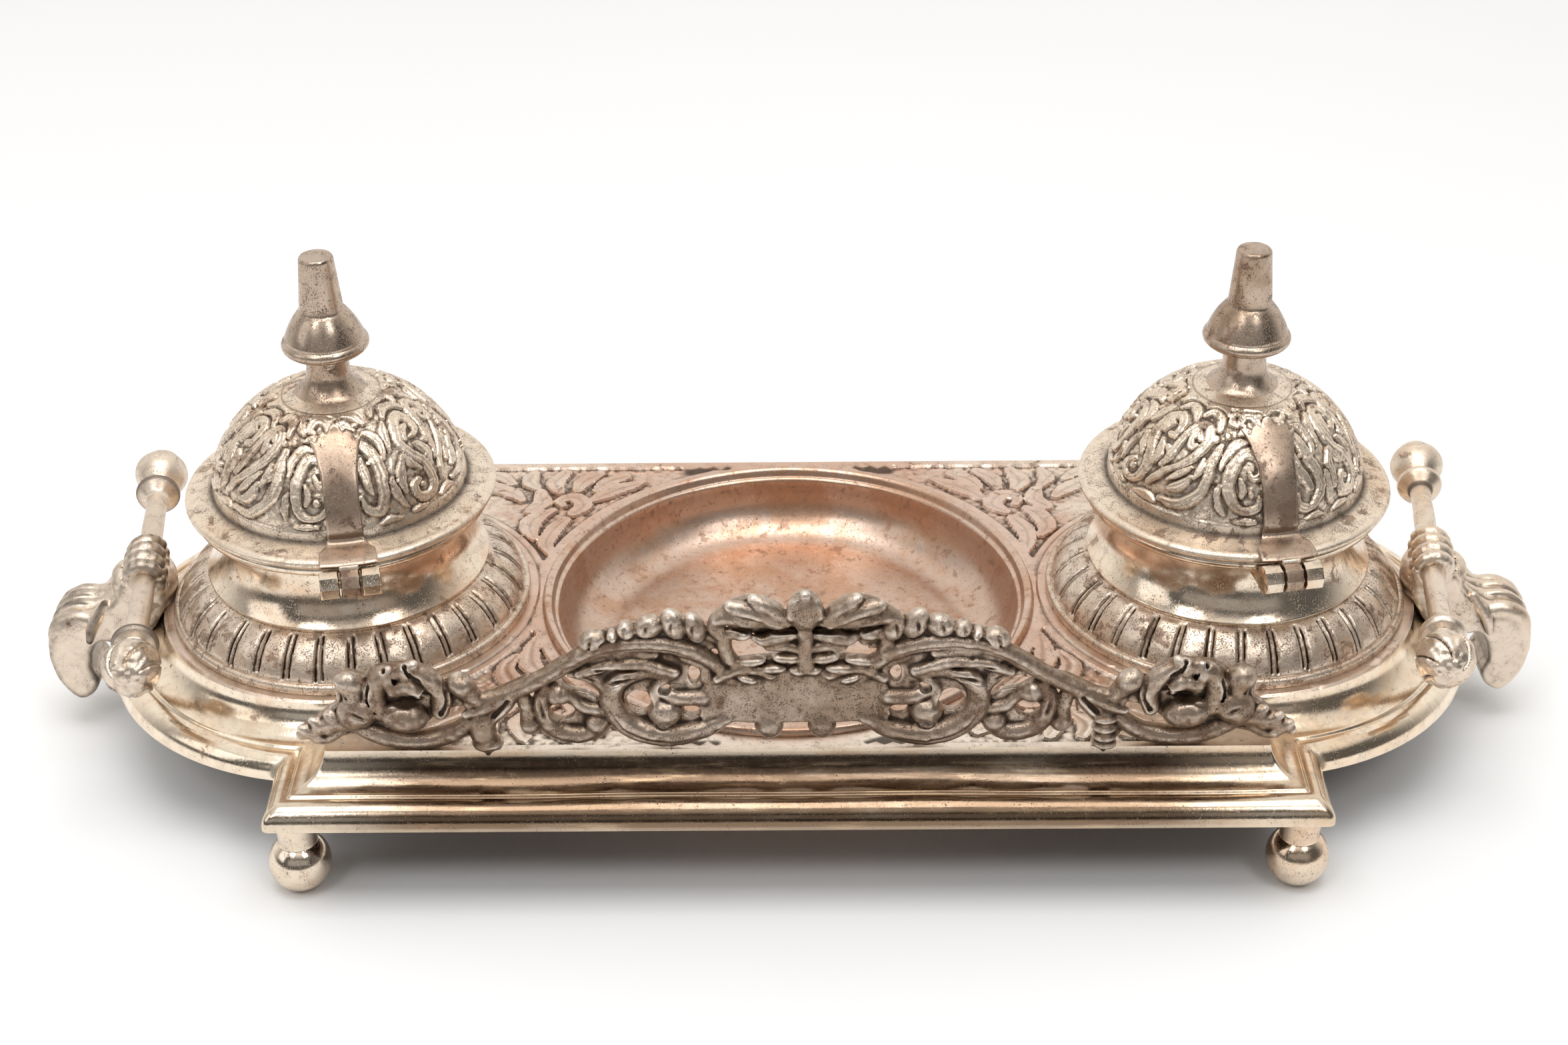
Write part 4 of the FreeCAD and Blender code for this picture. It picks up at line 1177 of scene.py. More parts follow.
def hinge_strap(side_name, place):
    """A thin sheet strap that stands a little off the dome, with the middle knuckle at its end."""
    path = lid_path()
    s_of = np.concatenate([[0], np.cumsum(np.linalg.norm(np.diff(path, axis=0), axis=1))])
    tangent = np.gradient(path, s_of, axis=0)
    outline = strap_outline(s_of, path, 1.7 if side_name == "right" else 1.5)
    top = outline[:, 1].max()
    x, s = np.meshgrid(np.arange(-5.6, 5.6, 0.3), np.arange(0, top, 0.3), indexing="ij")
    spread = np.stack([x.ravel(), s.ravel()], 1)
    spread = spread[outline_distance(*spread.T, outline) < -0.2]
    flat, faces, middle = triangulated(spread, outline)
    faces = faces[outline_distance(*middle.T, outline) < 0]
    edge = np.clip(np.maximum(-outline_distance(*flat.T, outline), 0) / 0.3, 0, 1)
    x, s = flat.T
    r, z = (np.interp(s, s_of, path[:, k]) for k in (0, 1))
    tr, tz = (np.interp(s, s_of, tangent[:, k]) for k in (0, 1))
    size = np.hypot(tr, tz)
    curl = 0.5 * smooth(s, top - 3.2, top) ** 2
    wave = 0.06 * lattice_noise(in_plane(flat), 3.4, 61)
    layers = []
    for thick, rounding in ((0.78, 0.14), (0.0, -0.04)):
        lift = 0.12 + smooth(s, 5.5, 11.0) + thick - rounding * (1 - edge) ** 2
        lift = lift + curl + wave
        out = r + lift * tz / size
        layers.append(np.column_stack([x, -np.sqrt(np.maximum(out * out - x ** 2, 0)), z - lift * tr / size]))
    count = len(flat)
    sheet = faces.tolist() + [[count + i for i in reversed(f)] for f in faces.tolist()]
    sheet += band(count, 0, len(outline))
    web = block((-TONGUE_HALF, HINGE_Y + 0.2, HINGE_Z - 0.6), (TONGUE_HALF, HINGE_Y + 2.5, 56.7), 0.3)
    points, faces = combined((np.vstack(layers), sheet), knuckle(-TONGUE_HALF, TONGUE_HALF), web)
    return new_object(side_name + "_strap_sheet", place(points), faces, 0.8, 30)


# ---- handles, drawn for the right-hand end ---------------------------------------------------
ARM_HALF_Y = 6.3
ARM_SIDE = [(136.4, 35.6), (138.6, 31.6), (142.4, 28.6), (147.2, 28.2), (151.4, 26.2), (153.3, 22.0),
            (153.7, 17.0), (152.4, 11.6), (149.2, 7.6), (146.0, 8.4), (144.2, 11.8), (145.3, 15.0),
            (144.5, 19.0), (142.6, 21.6), (139.2, 21.4), (135.2, 22.8), (131.4, 24.4), (129.4, 27.4),
            (127.6, 31.0), (128.6, 35.0), (132.0, 37.4)]


def bar_ring(along, radius, thick, start, end, lean=0.0):
    """Points (x, y, z, radius) of part of a ring round the bar, start to end in degrees from outwards."""
    turn = np.radians(np.linspace(start, end, 14))
    local = np.column_stack([radius * np.cos(turn), radius * np.sin(turn), along + lean * np.cos(turn)])
    taper = thick * (1 - 0.25 * np.abs(np.linspace(-1, 1, 14)) ** 3)
    return np.column_stack([along_bar(local), taper])


def handle_bracket(side_name, place):
    """Cast arm: a fist round the bar, a leafy wrist, and a heavy comma-shaped scroll over the tray's edge."""
    f = Field((124.0, -10.0, 5.0), (156.5, 10.0, 45.0), 0.24)
    side = curve_through(ARM_SIDE + ARM_SIDE[:1], 0.8)[:-1]
    f.slab(side, -ARM_HALF_Y, ARM_HALF_Y, edge=1.1)
    for y, lift in ((-4.7, 0.0), (-1.7, 0.7), (1.7, 0.7), (4.7, 0.0)):
        spread = y * 1.02
        f.tube([(135.6, y * 0.6, 33.4, 1.6), (139.4, y * 0.8, 29.6, 1.7), (143.4, spread, 27.0 + lift, 1.9),
                (147.6, spread, 26.8 + lift, 2.0), (150.9, spread, 24.6 + 0.6 * lift, 1.9),
                (152.0, spread, 20.6, 1.5), (152.3, spread, 15.6, 1.1)], blend=0.35)
    for y in (-3.2, 0.0, 3.2):
        f.tube([(138.2, 0.7 * y, 32.6, 0.4), (143.0, y, 29.6, 0.6), (148.4, y, 29.0, 0.65),
                (152.4, y, 26.0, 0.6), (154.2, y, 21.0, 0.45), (154.5, y, 16.0, 0.2)],
               blend=0.25, carve=True)
    for end in (-1, 1):
        f.tube([(140.4, end * 5.2, 30.6, 0.9), (143.4, end * 6.6, 26.0, 1.1), (144.4, end * 6.9, 22.6, 0.7)],
               blend=0.4)
    f.ball((130.2, 0.4, 31.4), (3.6, 5.6, 5.2), 1.2)
    f.ball((136.6, 0.2, 33.6), (2.8, 5.2, 3.4), 1.0, tilt=-0.6)
    for along, thick, lean in ((-4.9, 1.75, 0.5), (-1.7, 1.95, 0.3), (1.7, 1.95, -0.2), (4.8, 1.7, -0.6)):
        f.tube(bar_ring(along, 2.9, thick, -150, 170, lean), blend=0.22, smooth_line=False)
    for along in (-3.3, 0.0, 3.3):
        f.tube(bar_ring(along, 4.95, 0.28, -120, 150), blend=0.2, smooth_line=False, carve=True)
    return f.object(side_name + "_arm_and_fist", place, 1.4, 0.07, seed=71)


def handle_bar(side_name, place):
    """Round bar with a moulded collar near each end."""
    low = [(2.2, -26.0), (2.6, -26.9), (3.1, -27.3), (4.5, -28.5), (4.75, -29.3), (4.2, -30.1), (2.7, -30.8),
           (2.4, -31.8), (1.5, -31.9), (1.5, -35.3), (0.0, -35.3)]
    outline = low[::-1] + [(r, -z) for r, z in low]
    points = finely(np.array(softened(outline, 0.25)), 1.0)
    return turned_object(side_name + "_grip_bar", points, place, 72, None, 1.0, 0.10)


def bar_ball(name, place, end):
    """Ball end. The near ones are cut into a bud, and the far ones are plain with a flattened crown."""
    bud = end < 0
    low = BAR_BALL_T - 5.4
    if bud:
        points = profile((0, low - 0.2), (2.7, low - 0.2), (2.9, low + 0.4), (3.3, low + 0.9),
                         (5.7, low + 4.8, 3.9, low + 9.4), (2.2, low + 10.7, 0, low + 11.0),
                         fine=0.25, soft=0.25)
    else:
        points = profile((0, low - 0.2), (2.7, low - 0.2), (2.8, low + 0.6), (4.0, low + 1.8, 5.4, low + 4.6),
                         (5.6, low + 6.2, 5.0, low + 7.4), (4.4, low + 7.7), (4.2, low + 9.4, 0, low + 11.0),
                         fine=0.25)
    points = finely(points, 0.3)

    def swell(angle, i):
        up = points[i, 1] - BAR_BALL_T
        around = round_axis(points[i, 0], angle, up)
        chips = 0.34 * lattice_noise(around, 2.0, 33) + 0.16 * lattice_noise(around, 0.9, 34)
        cut = np.exp(-(np.sin(angle * 3 + 0.45 * up) / 0.16) ** 2)
        cut = 0.65 * cut * smooth(up, -4.0, -1.0) * smooth(5.4 - up, 0.0, 1.5)
        return (chips - cut) * (points[i, 0] > 0.4)

    def move(p):
        return place(p * np.array([1, end, end]))
    return turned_object(name, points, move, 96, swell if bud else None, 0.8, 0.10)


# ---- gallery ---------------------------------------------------------------------------------
CREST_S = 2.0               # the crest stands this far right of the scrollwork's middle


def gallery():
    """The pierced scroll casting: a plain panel between leafy scrolls, a crest, rosettes and two legs.
    Places are (along, height above the tray, radius), and out is how far forward a piece stands."""
    f = Field((GALLERY_X - 100.0, GALLERY_Y - 5.0, TRAY_BOTTOM + 2.0),
              (GALLERY_X + 98.0, GALLERY_Y + 4.6, TRAY_TOP + 38.5), 0.29)

    def at(side, middle, points, out):
        return [(GALLERY_X + middle + side * s, GALLERY_Y - out, TRAY_TOP + h, r) for s, h, r in points]

    def scroll(*points, out=0.0, blend=0.45, middle=0.0, sides=(-1, 1), carve=False):
        for side in sides:
            f.tube(at(side, middle, points, out), blend, carve=carve)

    def groove(*points, out, blend=0.2, middle=0.0):
        scroll(*points, out=out, blend=blend, middle=middle, carve=True)

    def lump(s, h, radii, out=0.0, tilt=0.0, blend=0.5, middle=0.0, sides=(-1, 1), carve=False):
        for side in sides:
            centre = (GALLERY_X + middle + side * s, GALLERY_Y - out, TRAY_TOP + h)
            f.ball(centre, radii, blend, side * tilt, carve)

    def plate(outline, low=-0.5, high=1.3, middle=0.0, sides=(-1, 1), edge=0.5, blend=0.4):
        for side in sides:
            f.slab([(GALLERY_X + middle + side * s, TRAY_TOP + h) for s, h in outline], GALLERY_Y + low,
                   GALLERY_Y + high, edge, blend)

    crest = {"middle": CREST_S}
    panel = [(-19.6, 9.6), (-17.4, 6.2), (-8.0, 5.6), (8.0, 5.6), (17.4, 6.2), (19.6, 9.6), (16.4, 15.4),
             (9.0, 17.6), (-9.0, 17.6), (-16.4, 15.4)]
    plate(panel, -1.3, 1.3, sides=(1,), edge=0.7)
    # the solid ground behind the scrolls and leaves
    plate([(10.0, 6.0), (15.0, 5.6), (18.4, 3.4), (25.0, 1.8), (31.4, 3.6), (35.0, 7.4), (36.0, 12.0),
           (39.0, 14.8), (42.6, 16.0), (41.0, 20.6), (36.0, 23.2), (29.0, 24.6), (21.0, 23.4), (15.0, 19.6),
           (11.0, 17.0)])
    plate([(35.6, 4.6), (39.6, 2.6), (44.0, 2.4), (48.0, 5.0), (49.6, 9.0), (48.6, 13.4), (45.6, 15.6),
           (42.8, 13.4), (38.6, 12.4), (36.0, 10.0)])
    plate([(13.6, 22.0), (15.0, 25.4), (18.6, 27.4), (24.0, 28.2), (30.6, 27.2), (36.4, 25.6), (40.4, 23.4),
           (36.0, 22.8), (28.0, 23.8), (20.0, 21.8)])
    plate([(49.6, 16.4), (55.0, 13.6), (60.4, 9.4), (60.8, 5.6), (58.6, 5.0), (55.0, 8.4), (52.0, 12.4)])
    plate([(59.6, 10.4), (60.4, 14.8), (63.0, 16.2), (66.0, 14.8), (67.4, 17.4), (71.4, 19.4), (75.0, 18.8),
           (78.4, 18.4), (80.6, 16.4), (83.4, 17.6), (86.2, 15.6), (86.0, 10.6), (88.6, 8.4), (92.6, 5.2),
           (94.0, 2.4), (88.0, 2.0), (82.0, 3.4), (75.6, 5.0), (70.0, 5.0), (66.8, 8.4)])
    plate([(2.4, 28.4), (4.6, 31.4), (7.4, 33.2), (10.6, 33.6), (13.8, 32.4), (16.2, 29.6), (16.4, 26.6),
           (14.6, 27.4), (12.6, 28.8), (8.6, 28.2), (5.0, 27.6)], -1.0, 1.2, **crest)
    plate([(0.5, 24.6), (0.5, 29.0), (13.0, 29.0), (14.6, 27.0), (9.0, 24.6)], 0.3, 1.2, **crest)
    plate([(1.0, 22.0), (1.6, 25.6), (5.6, 26.0), (9.0, 25.0), (8.4, 22.6), (5.4, 21.6)], -0.6, 1.2, **crest)
    plate([(0.0, 17.0), (13.6, 16.4), (13.4, 19.6), (7.4, 20.4), (0.0, 20.8)], **crest)
    lump(5.0, 4.6, (2.7, 2.2, 2.7))
    # large C scroll with its eye and inner leaf
    scroll((13.0, 6.6, 1.5), (18.0, 4.0, 2.1), (24.6, 3.0, 2.5), (31.0, 5.2, 2.5), (34.4, 10.2, 2.3),
           (33.0, 15.2, 1.9), (28.0, 17.4, 1.6), (23.0, 16.6, 1.2), out=0.4)
    groove((14.0, 5.8, 0.3), (19.0, 2.9, 0.35), (25.0, 2.2, 0.4), (31.6, 4.6, 0.4), (35.2, 10.2, 0.35),
           out=2.9)
    lump(24.6, 8.2, (3.2, 2.6, 2.9), 0.6)
    scroll((24.6, 8.6, 1.8), (26.4, 12.0, 1.4), (24.4, 15.6, 1.2), out=0.3)
    scroll((17.4, 11.4, 1.7), (21.8, 11.4, 1.6), (25.0, 12.8, 1.3), out=0.5)
    scroll((16.6, 15.6, 1.3), (17.2, 18.4, 1.2), (20.6, 20.4, 1.2))
    # leaves between the C and the arch
    scroll((22.4, 17.4, 1.1), (29.0, 19.4, 1.4), (35.0, 19.0, 1.3), (40.2, 17.0, 0.9), out=1.0)
    scroll((26.0, 21.2, 1.0), (32.0, 21.6, 1.2), (38.0, 20.0, 0.9), out=0.5)
    scroll((34.6, 12.0, 1.4), (37.0, 15.4, 1.3), (38.8, 18.0, 1.1))
    # arch and falling stem, a double band
    scroll((12.0, 15.4, 1.3), (15.4, 19.6, 1.6), (21.0, 22.6, 1.8), (28.4, 23.8, 1.9), (36.0, 22.6, 1.8),
           (41.0, 20.0, 1.8), (46.0, 16.6, 1.7), (51.0, 13.6, 1.6), (56.0, 11.6, 1.6), (61.0, 10.4, 1.4),
           out=0.3)
    groove((14.8, 18.4, 0.25), (21.0, 21.8, 0.4), (28.4, 23.0, 0.4), (36.0, 21.8, 0.4), (41.4, 19.0, 0.4),
           (46.4, 15.6, 0.35), (51.0, 12.8, 0.3), (55.4, 10.9, 0.3), out=2.2)
    # small C scroll, its nub and the drops beside it
    scroll((35.6, 7.0, 1.5), (38.0, 3.9, 1.8), (42.0, 3.1, 2.0), (46.0, 5.0, 1.9), (47.6, 9.4, 1.8),
           (46.4, 13.6, 1.5), out=0.2)
    scroll((36.0, 8.6, 1.3), (39.6, 9.4, 1.3), (42.0, 11.6, 1.2), (44.4, 12.4, 2.3), out=0.5)
    lump(37.4, 5.6, (2.2, 2.0, 2.2), 0.5)
    scroll((50.2, 5.6, 1.7), (50.4, 9.0, 1.5), (51.6, 13.6, 1.4))
    lump(50.0, 5.2, (1.9, 1.8, 2.0), 0.4)
    # leaf beside each leg
    scroll((52.8, 12.4, 1.3), (55.4, 9.0, 1.7), (58.8, 5.8, 1.6), (60.6, 3.2, 0.8), out=0.6)
    scroll((54.8, 11.6, 0.9), (58.8, 9.4, 1.3), (62.0, 8.2, 0.8), out=1.3)
    # upturned sweep under the rosette
    scroll((56.0, 10.2, 1.4), (60.0, 6.8, 1.7), (65.0, 3.2, 1.9), (70.6, 1.9, 2.0), (76.4, 2.4, 2.0),
           (81.4, 4.6, 1.8), (85.0, 7.4, 1.5), out=0.2)
    groove((60.4, 7.6, 0.3), (65.4, 4.0, 0.4), (70.8, 2.7, 0.4), (76.4, 3.2, 0.4), (81.0, 5.4, 0.3), out=2.4)
    # rosette: a bulb in curled petals
    lump(73.4, 8.0, (4.6, 3.2, 3.2), 1.2, 0.15)
    groove((69.6, 9.8, 0.3), (73.6, 11.2, 0.45), (77.0, 9.6, 0.3), out=3.0)
    scroll((77.8, 8.8, 1.9), (78.8, 12.8, 2.1), (77.0, 16.8, 2.0), (73.4, 18.2, 1.6), out=0.8)
    scroll((66.6, 8.6, 1.7), (66.2, 12.4, 2.0), (68.2, 16.0, 1.9), (71.6, 18.4, 1.6), out=0.6)
    scroll((69.8, 12.8, 1.4), (72.2, 15.2, 1.5), (75.0, 14.4, 1.2), out=1.9)
    scroll((72.4, 15.0, 1.3), (72.6, 18.2, 1.5), (71.0, 19.4, 1.1), out=1.2)
    scroll((75.2, 15.0, 1.2), (76.0, 17.2, 1.3), (75.4, 18.8, 0.9), out=1.8)
    lump(71.0, 12.4, (1.8, 1.8, 1.3), 3.4, 0.4, 0.3, carve=True)
    scroll((59.6, 11.2, 1.5), (62.0, 14.0, 2.0), (63.0, 15.0, 2.1), out=0.5)
    lump(62.2, 14.6, (2.3, 2.3, 2.2), 0.8)
    lump(83.2, 15.2, (2.9, 2.4, 2.5), 0.6, 0.3)
    scroll((82.4, 10.6, 2.0), (83.0, 14.0, 2.2), out=0.4)
    lump(82.2, 8.8, (4.0, 2.8, 3.5), 0.9, -0.3)
    groove((79.4, 7.6, 0.3), (82.4, 9.6, 0.4), (85.4, 10.8, 0.3), out=3.6)
    # end leaf
    scroll((83.6, 6.4, 2.1), (87.6, 5.8, 2.1), (91.0, 4.2, 1.7), (93.6, 2.8, 1.1))
    for s, h in ((87.4, 8.0), (90.4, 6.6), (92.6, 4.8)):
        scroll((s - 2.4, h - 2.2, 1.2), (s, h - 0.4, 1.2), (s + 0.9, h, 0.6), out=0.6)
    scroll((86.0, 4.2, 1.2), (88.4, 2.4, 1.1), (91.0, 1.7, 0.6), out=0.4)
    # frilled shoulder leaf, in steps
    scroll((13.0, 24.0, 1.3), (18.0, 25.8, 1.3), (24.0, 26.2, 1.3), (31.0, 25.4, 1.3), (38.6, 23.2, 1.2),
           out=-0.2)
    for s, top, wide, high in ((18.4, 28.0, 2.0, 3.3), (22.3, 28.7, 2.3, 3.4), (26.9, 28.2, 2.8, 2.3),
                               (31.0, 27.5, 1.7, 1.9), (33.6, 26.2, 1.1, 1.3), (37.3, 25.2, 2.7, 2.2)):
        lump(s, top - 0.6, (wide, 2.1, high), 0.9, -0.35, 0.08)
        groove((s + 0.9, top - 2.6, 0.2), (s + 0.5, top - 0.4, 0.32), (s + 0.1, top + 1.0, 0.2), out=2.7,
               blend=0.3)
    # crest: bracket, curled leaves and the bud, about the crest's own middle
    scroll((11.4, 17.6, 1.2), (14.4, 20.6, 1.5), (15.0, 24.6, 1.4), (13.0, 26.4, 1.1), out=0.5, **crest)
    scroll((15.8, 25.6, 1.2), (16.2, 28.6, 1.3), (14.6, 30.6, 1.4), out=0.7, **crest)
    scroll((3.4, 28.8, 1.1), (5.6, 31.0, 1.7), (8.0, 32.6, 1.7), (9.4, 33.6, 1.2), out=1.5, **crest)
    scroll((4.6, 28.4, 1.0), (8.6, 30.4, 1.6), (12.0, 31.8, 1.7), (13.6, 32.4, 1.3), out=1.8, **crest)
    scroll((6.0, 28.2, 0.9), (10.4, 29.2, 1.4), (14.0, 29.8, 1.5), (16.2, 29.4, 1.2), out=1.5, **crest)
    scroll((13.6, 31.4, 1.2), (16.0, 29.6, 1.4), (17.0, 27.2, 1.1), (16.4, 25.6, 0.7), out=1.0, **crest)
    groove((4.4, 29.2, 0.3), (7.6, 31.6, 0.45), (10.6, 32.8, 0.3), out=3.4, blend=0.15, **crest)
    groove((5.6, 28.2, 0.3), (10.0, 30.0, 0.5), (14.4, 31.2, 0.3), out=3.4, blend=0.15, **crest)
    scroll((2.4, 25.4, 1.1), (4.8, 25.0, 1.5), (7.4, 24.2, 1.3), (9.2, 24.6, 0.8), out=0.6, **crest)
    scroll((1.8, 22.4, 1.1), (4.4, 23.0, 1.3), (6.8, 22.6, 0.9), out=0.5, **crest)
    lump(11.8, 25.4, (1.9, 1.5, 1.2), 0.5, **crest)
    scroll((0.0, 19.0, 1.9), (0.0, 23.0, 1.5), (0.0, 27.0, 1.9), out=0.6, sides=(1,), **crest)
    lump(0.0, 31.0, (3.3, 2.7, 4.2), 1.0, sides=(1,), **crest)
    for s, h in ((0.0, 34.9), (1.9, 33.8)):
        scroll((s * 1.3, 30.6, 1.3), (s * 1.1, h - 1.0, 1.1), (s * 0.6, h, 0.8), out=2.0, blend=0.25, **crest)
    groove((1.0, 30.8, 0.25), (1.2, 33.6, 0.35), (0.9, 35.2, 0.3), out=4.0, **crest)
    for s, h, wide, tilt in ((3.4, 20.4, 2.9, 0.1), (10.2, 19.8, 3.0, -0.1), (6.2, 18.2, 2.6, 0.0),
                             (1.2, 17.8, 1.9, 0.0)):
        lump(s, h, (wide, 1.5, 1.05), 0.9, tilt, 0.3, **crest)
    scroll((15.4, 15.8, 0.9), (11.6, 18.0, 1.1), (8.2, 17.8, 0.9), (5.4, 16.4, 0.8), out=1.1, middle=1.0)
    lump(9.6, 16.0, (2.2, 1.3, 0.8), 1.1, 0.3, 0.3, middle=0.8)
    # pierced places, cut right through
    for s, h, wide, high in ((29.2, 10.4, 2.5, 2.5), (24.6, 5.9, 1.5, 1.1), (19.4, 8.4, 1.7, 1.4),
                             (18.8, 16.4, 1.1, 2.0), (24.4, 13.4, 1.1, 0.9), (43.8, 8.2, 2.4, 1.9),
                             (63.6, 7.6, 1.4, 1.0)):
        lump(s, h, (wide, 9.0, high), carve=True, blend=0.3)
    # deep hollows under the curled leaves
    for s, h, radii in ((72.0, 11.3, (3.4, 2.2, 0.8)), (69.0, 12.8, (1.2, 2.0, 1.3)),
                        (33.0, 18.2, (4.2, 1.6, 0.6)), (38.8, 15.4, (1.8, 1.6, 0.6)),
                        (22.4, 14.2, (2.6, 1.6, 0.6))):
        lump(s, h, radii, out=1.9, carve=True, blend=0.3)
    for line in (((79.4, 15.4), (79.9, 12.0), (78.6, 9.4)), ((65.2, 15.0), (64.9, 12.0), (66.4, 8.8)),
                 ((47.4, 14.2), (48.0, 11.4), (47.2, 8.2)), ((84.0, 12.4), (86.6, 11.8), (88.0, 10.0)),
                 ((70.0, 16.6), (71.6, 17.6), (72.4, 19.6)), ((74.4, 15.6), (75.2, 17.4), (76.6, 19.0)),
                 ((27.6, 15.2), (31.0, 16.0), (36.0, 15.0)), ((21.0, 21.0), (27.0, 21.6), (33.0, 20.6)),
                 ((41.0, 18.6), (36.0, 20.8), (30.0, 21.4)), ((53.8, 11.4), (56.4, 8.4), (58.6, 6.4))):
        groove(*[(s, h, 0.45) for s, h in line], out=2.0)
    groove((2.0, 26.9, 1.0), (6.0, 27.1, 1.2), (10.4, 27.1, 1.1), (13.6, 27.6, 0.6), out=1.1, blend=0.15,
           **crest)
    groove((16.4, 22.4, 0.35), (22.0, 24.9, 0.55), (29.0, 25.4, 0.6), (36.0, 24.2, 0.5), (40.0, 22.4, 0.35),
           out=2.0, blend=0.25)
    # legs: a threaded stub at the right and a bent tab at the left
    leg_y = GALLERY_Y - 0.9
    for side in (-1, 1):
        x = GALLERY_X + side * LEG_S
        f.tube([(x, leg_y + 0.3, TRAY_BOTTOM + 4.0, 1.0), (x, leg_y + 0.3, TRAY_TOP - 0.6, 1.0),
                (x, leg_y, TRAY_TOP + 1.0, 1.7), (x, leg_y, TRAY_TOP + 7.0, 1.8)], 0.4, smooth_line=False)
    for h in (6.6, 4.4, 2.4, 0.8):
        f.ball((GALLERY_X + LEG_S, leg_y, TRAY_TOP + h), (2.5, 2.3, 1.0), 0.25)
    left = GALLERY_X - LEG_S
    f.tube([(left - 0.8, leg_y, TRAY_TOP + 6.4, 2.4), (left - 0.6, leg_y - 0.4, TRAY_TOP + 3.6, 2.5),
            (left + 0.2, leg_y, TRAY_TOP + 1.8, 1.9)], 0.5, 0.8)
    f.ball((left + 0.1, leg_y - 0.2, TRAY_TOP + 1.5), (3.0, 2.2, 1.5), 0.4)
    return f.object("gallery_casting", lambda p: p, 1.3, 0.12, seed=81)


# ---- the whole object ------------------------------------------------------------------------
def add_platform_patina_and_shaded_underside(o):
    """Give the tray's flat top its pinkish worn metal, and its hollow underside a dull cast metal painted
    very dark, to keep the floor beneath in shade.
    """
    o.data.materials.append(PLATFORM_METAL)
    o.data.materials.append(SHADED_UNDERSIDE)
    centres = fetched(o.data.polygons, "center", 3) / MM
    upwards = fetched(o.data.polygons, "normal", 3)[:, 2]
    flat = (upwards > 0.3) & (centres[:, 2] > TRAY_TOP - 1.6)
    flat &= tray_distance(centres, MOULD_W - 0.4) < 0
    # the hollow underside gets the metal painted very dark, for the shade beneath the tray
    under = (upwards < 0.05) & (centres[:, 2] < TRAY_TOP - 1.2)
    under &= tray_distance(centres, 1.0) < 0
    o.data.polygons.foreach_set("material_index", (flat + 2 * under).astype(np.int32))


tray = dress(base_tray(), "stand", "tray_metal", TRAY_METAL, "base_tray")
add_platform_patina_and_shaded_underside(tray)
dress(centre_dish(), "stand", "coppery_dish", DISH_METAL, "centre_dish")
for side_name, side in SIDES:
    for end_name in ("rear", "front"):
        node = "foot_" + side_name + "_" + end_name
        dress(foot(node + "_ball", *FEET[side_name, end_name]), "stand", "polished_metal", POLISHED, node)
dress(gallery(), "stand", "gallery_metal", GALLERY_METAL, "gallery")

for side_name, side in SIDES:
    spot = on_tray(side)
    bar_spot = at_end(side, along_bar)
    lid = side_name + "_lid"
    pieces = [
        ("pot_skirt", pot_skirt(side_name, spot), "stand", "fluted_metal", FLUTED),
        ("pot_body", pot_body(side_name, spot), "stand", "polished_metal", POLISHED),
        ("ink_liner", ink_liner(side_name, spot), "stand", "liner_glass", GLASS),
        ("hinge_knuckles", hinge_knuckles(side_name, spot), "stand", "polished_metal", POLISHED),
        ("lid_dome", lid_dome(side_name, spot, 50 + side), lid, "embossed_metal", EMBOSSED),
        ("lid_finial", lid_finial(side_name, spot), lid, "polished_metal", FINIAL_METAL),
        ("hinge_strap", hinge_strap(side_name, spot), lid, "polished_metal", STRAP_METAL),
        ("handle_bracket", handle_bracket(side_name, at_end(side)), "stand", "cast_metal", CAST),
        ("handle_bar", handle_bar(side_name, bar_spot), "stand", "cast_metal", CAST),
    ]
    for end_name, end in (("front", 1), ("rear", -1)):
        ball = bar_ball(side_name + "_" + end_name + "_knob", bar_spot, end)
        pieces.append(("bar_ball_" + end_name, ball, "stand", "cast_metal", CAST))
    for node, o, body, slot_name, material in pieces:
        dress(o, body, slot_name, material, side_name + "_" + node)
    for node in ("pot_bolt", "pot_nut", "hinge_pin", "finial_nut"):
        wear(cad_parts[side_name + "_" + node], FASTENER)
for node in ("gallery_nuts", "bracket_screws"):
    wear(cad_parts[node], FASTENER)


# ---- studio ------------------------------------------------------------------------------------
def studio_floor():
    """A wide pale floor."""
    bm = bmesh.new()
    bmesh.ops.create_grid(bm, x_segments=24, y_segments=24, size=4.0)
    mesh = bpy.data.meshes.new("floor")
    bm.to_mesh(mesh)
    bm.free()
    floor = linked("floor", mesh)
    mesh.materials.append(pale_floor())


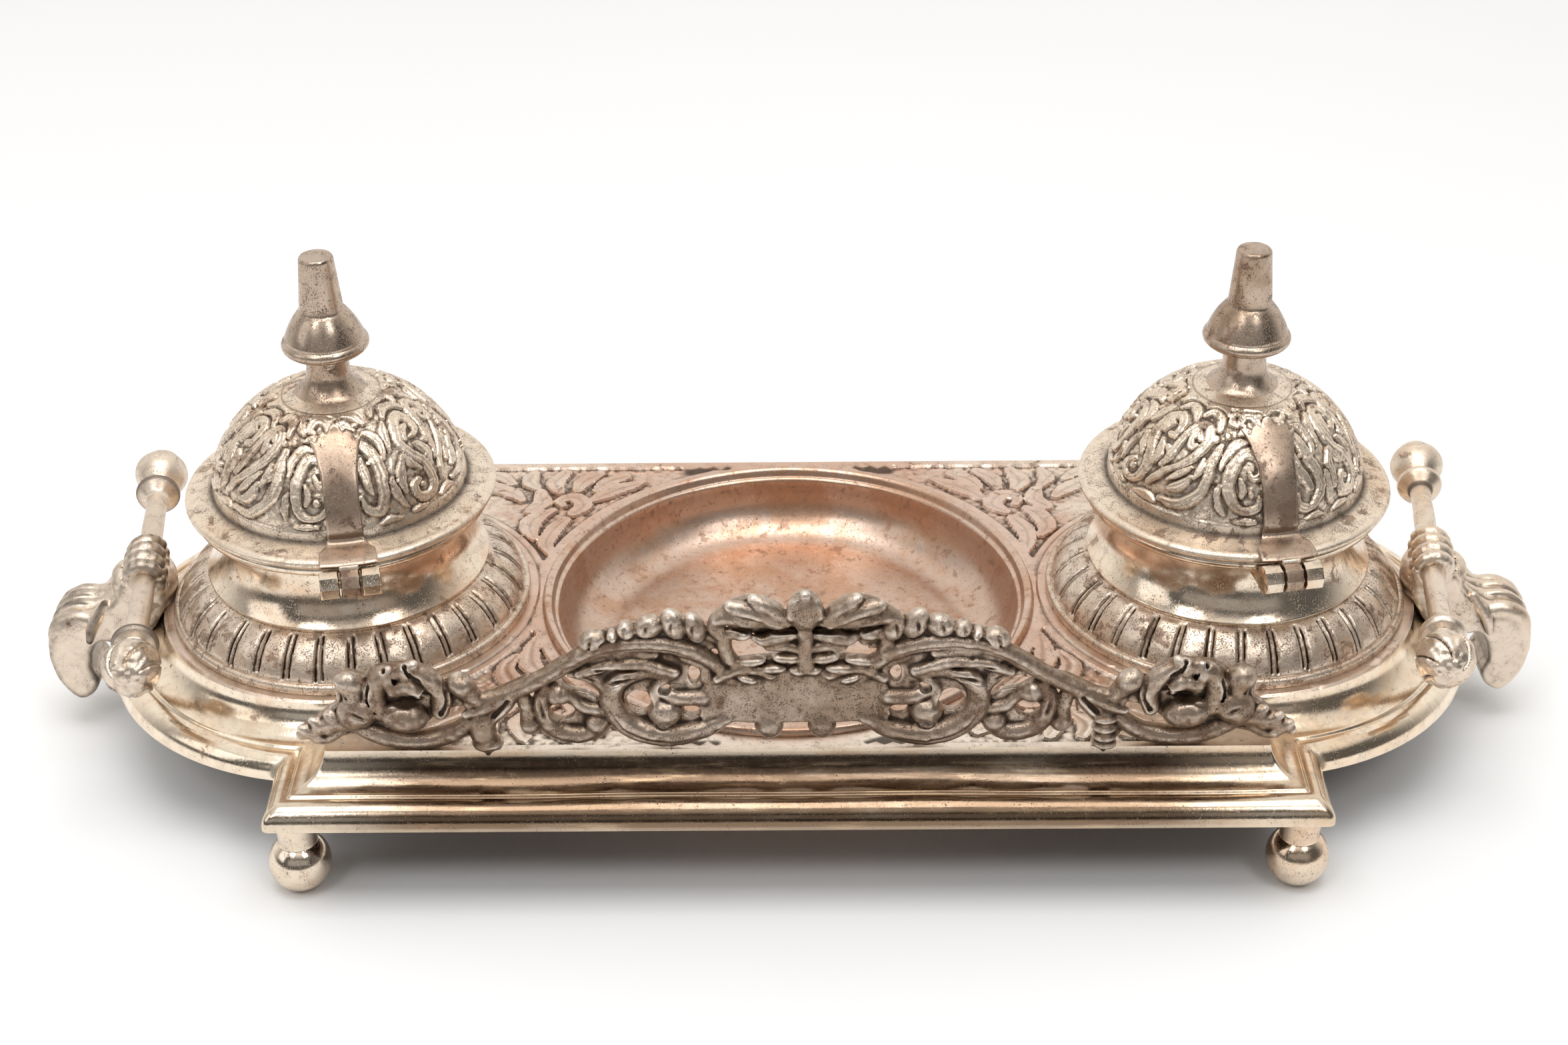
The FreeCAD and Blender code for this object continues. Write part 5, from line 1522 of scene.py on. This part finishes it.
def softbox(name, place, target, size, watts, card=False):
    """A rectangular area light aimed at target. A card shows only in reflections."""
    light = bpy.data.lights.new(name, "AREA")
    light.shape = "RECTANGLE"
    light.size, light.size_y = size
    light.energy = watts
    o = linked(name, light)
    o.location = place
    o.rotation_euler = (Vector(target) - Vector(place)).to_track_quat("-Z", "Y").to_euler()
    o.visible_diffuse = not card


def surroundings():
    """A white room: bright behind and overhead, and dark low down on the camera's side."""
    world = bpy.data.worlds.new("studio")
    bpy.context.scene.world = world
    g = Graph(world, "Background", "Generated")
    _, y, z = g.place()
    behind = g.between(y, -0.32, 0.55, 0.11, 1.02)
    overhead = g.between(z, 0.62, 0.86, 0.11, 0.95)
    g.feed(g.shader.inputs["Color"], (1.0, 0.985, 0.955))
    g.feed(g.shader.inputs["Strength"], g.math("MAXIMUM", behind, overhead))


CAMERA_PLACE = (0.002963, -0.445694, 0.317336)      # m
CAMERA_LENS = 58.77                                 # mm, on a sensor 36 mm wide
CAMERA_AIM = (-0.466, 31.337, -0.635)               # degrees to the right, downwards and of roll


def camera():
    """Over the hinge side, looking down at the tray."""
    data = bpy.data.cameras.new("camera")
    data.sensor_width = 36.0
    data.lens = CAMERA_LENS
    yaw, pitch, roll = (math.radians(a) for a in CAMERA_AIM)
    ahead = Vector((math.sin(yaw) * math.cos(pitch), math.cos(yaw) * math.cos(pitch), -math.sin(pitch)))
    right = Vector((math.cos(yaw), -math.sin(yaw), 0))
    up = right.cross(ahead)
    rolled_right = math.cos(roll) * right + math.sin(roll) * up
    rolled_up = math.cos(roll) * up - math.sin(roll) * right
    o = linked("camera", data)
    turn = Matrix((rolled_right, rolled_up, -ahead)).transposed().to_4x4()
    o.matrix_world = Matrix.Translation(CAMERA_PLACE) @ turn
    bpy.context.scene.camera = o


studio_floor()
surroundings()
softbox("overhead", (0.0, -0.14, 1.0), (0.0, 0.0, 0.0), (0.8, 0.5), 3.9)
for side_name, side in SIDES:
    softbox("front_" + side_name, (side * 0.42, -0.62, 0.86), (0.0, 0.0, 0.04), (0.26, 0.26), 1.2)
softbox("front_card", (0.0, -1.3, 0.62), (0.0, 0.0, 0.05), (2.2, 0.5), 0.9, card=True)
softbox("side", (-0.9, -0.35, 0.55), (-0.05, 0.0, 0.05), (0.5, 0.6), 1.1)
camera()
bpy.context.scene.view_settings.view_transform = "Standard"
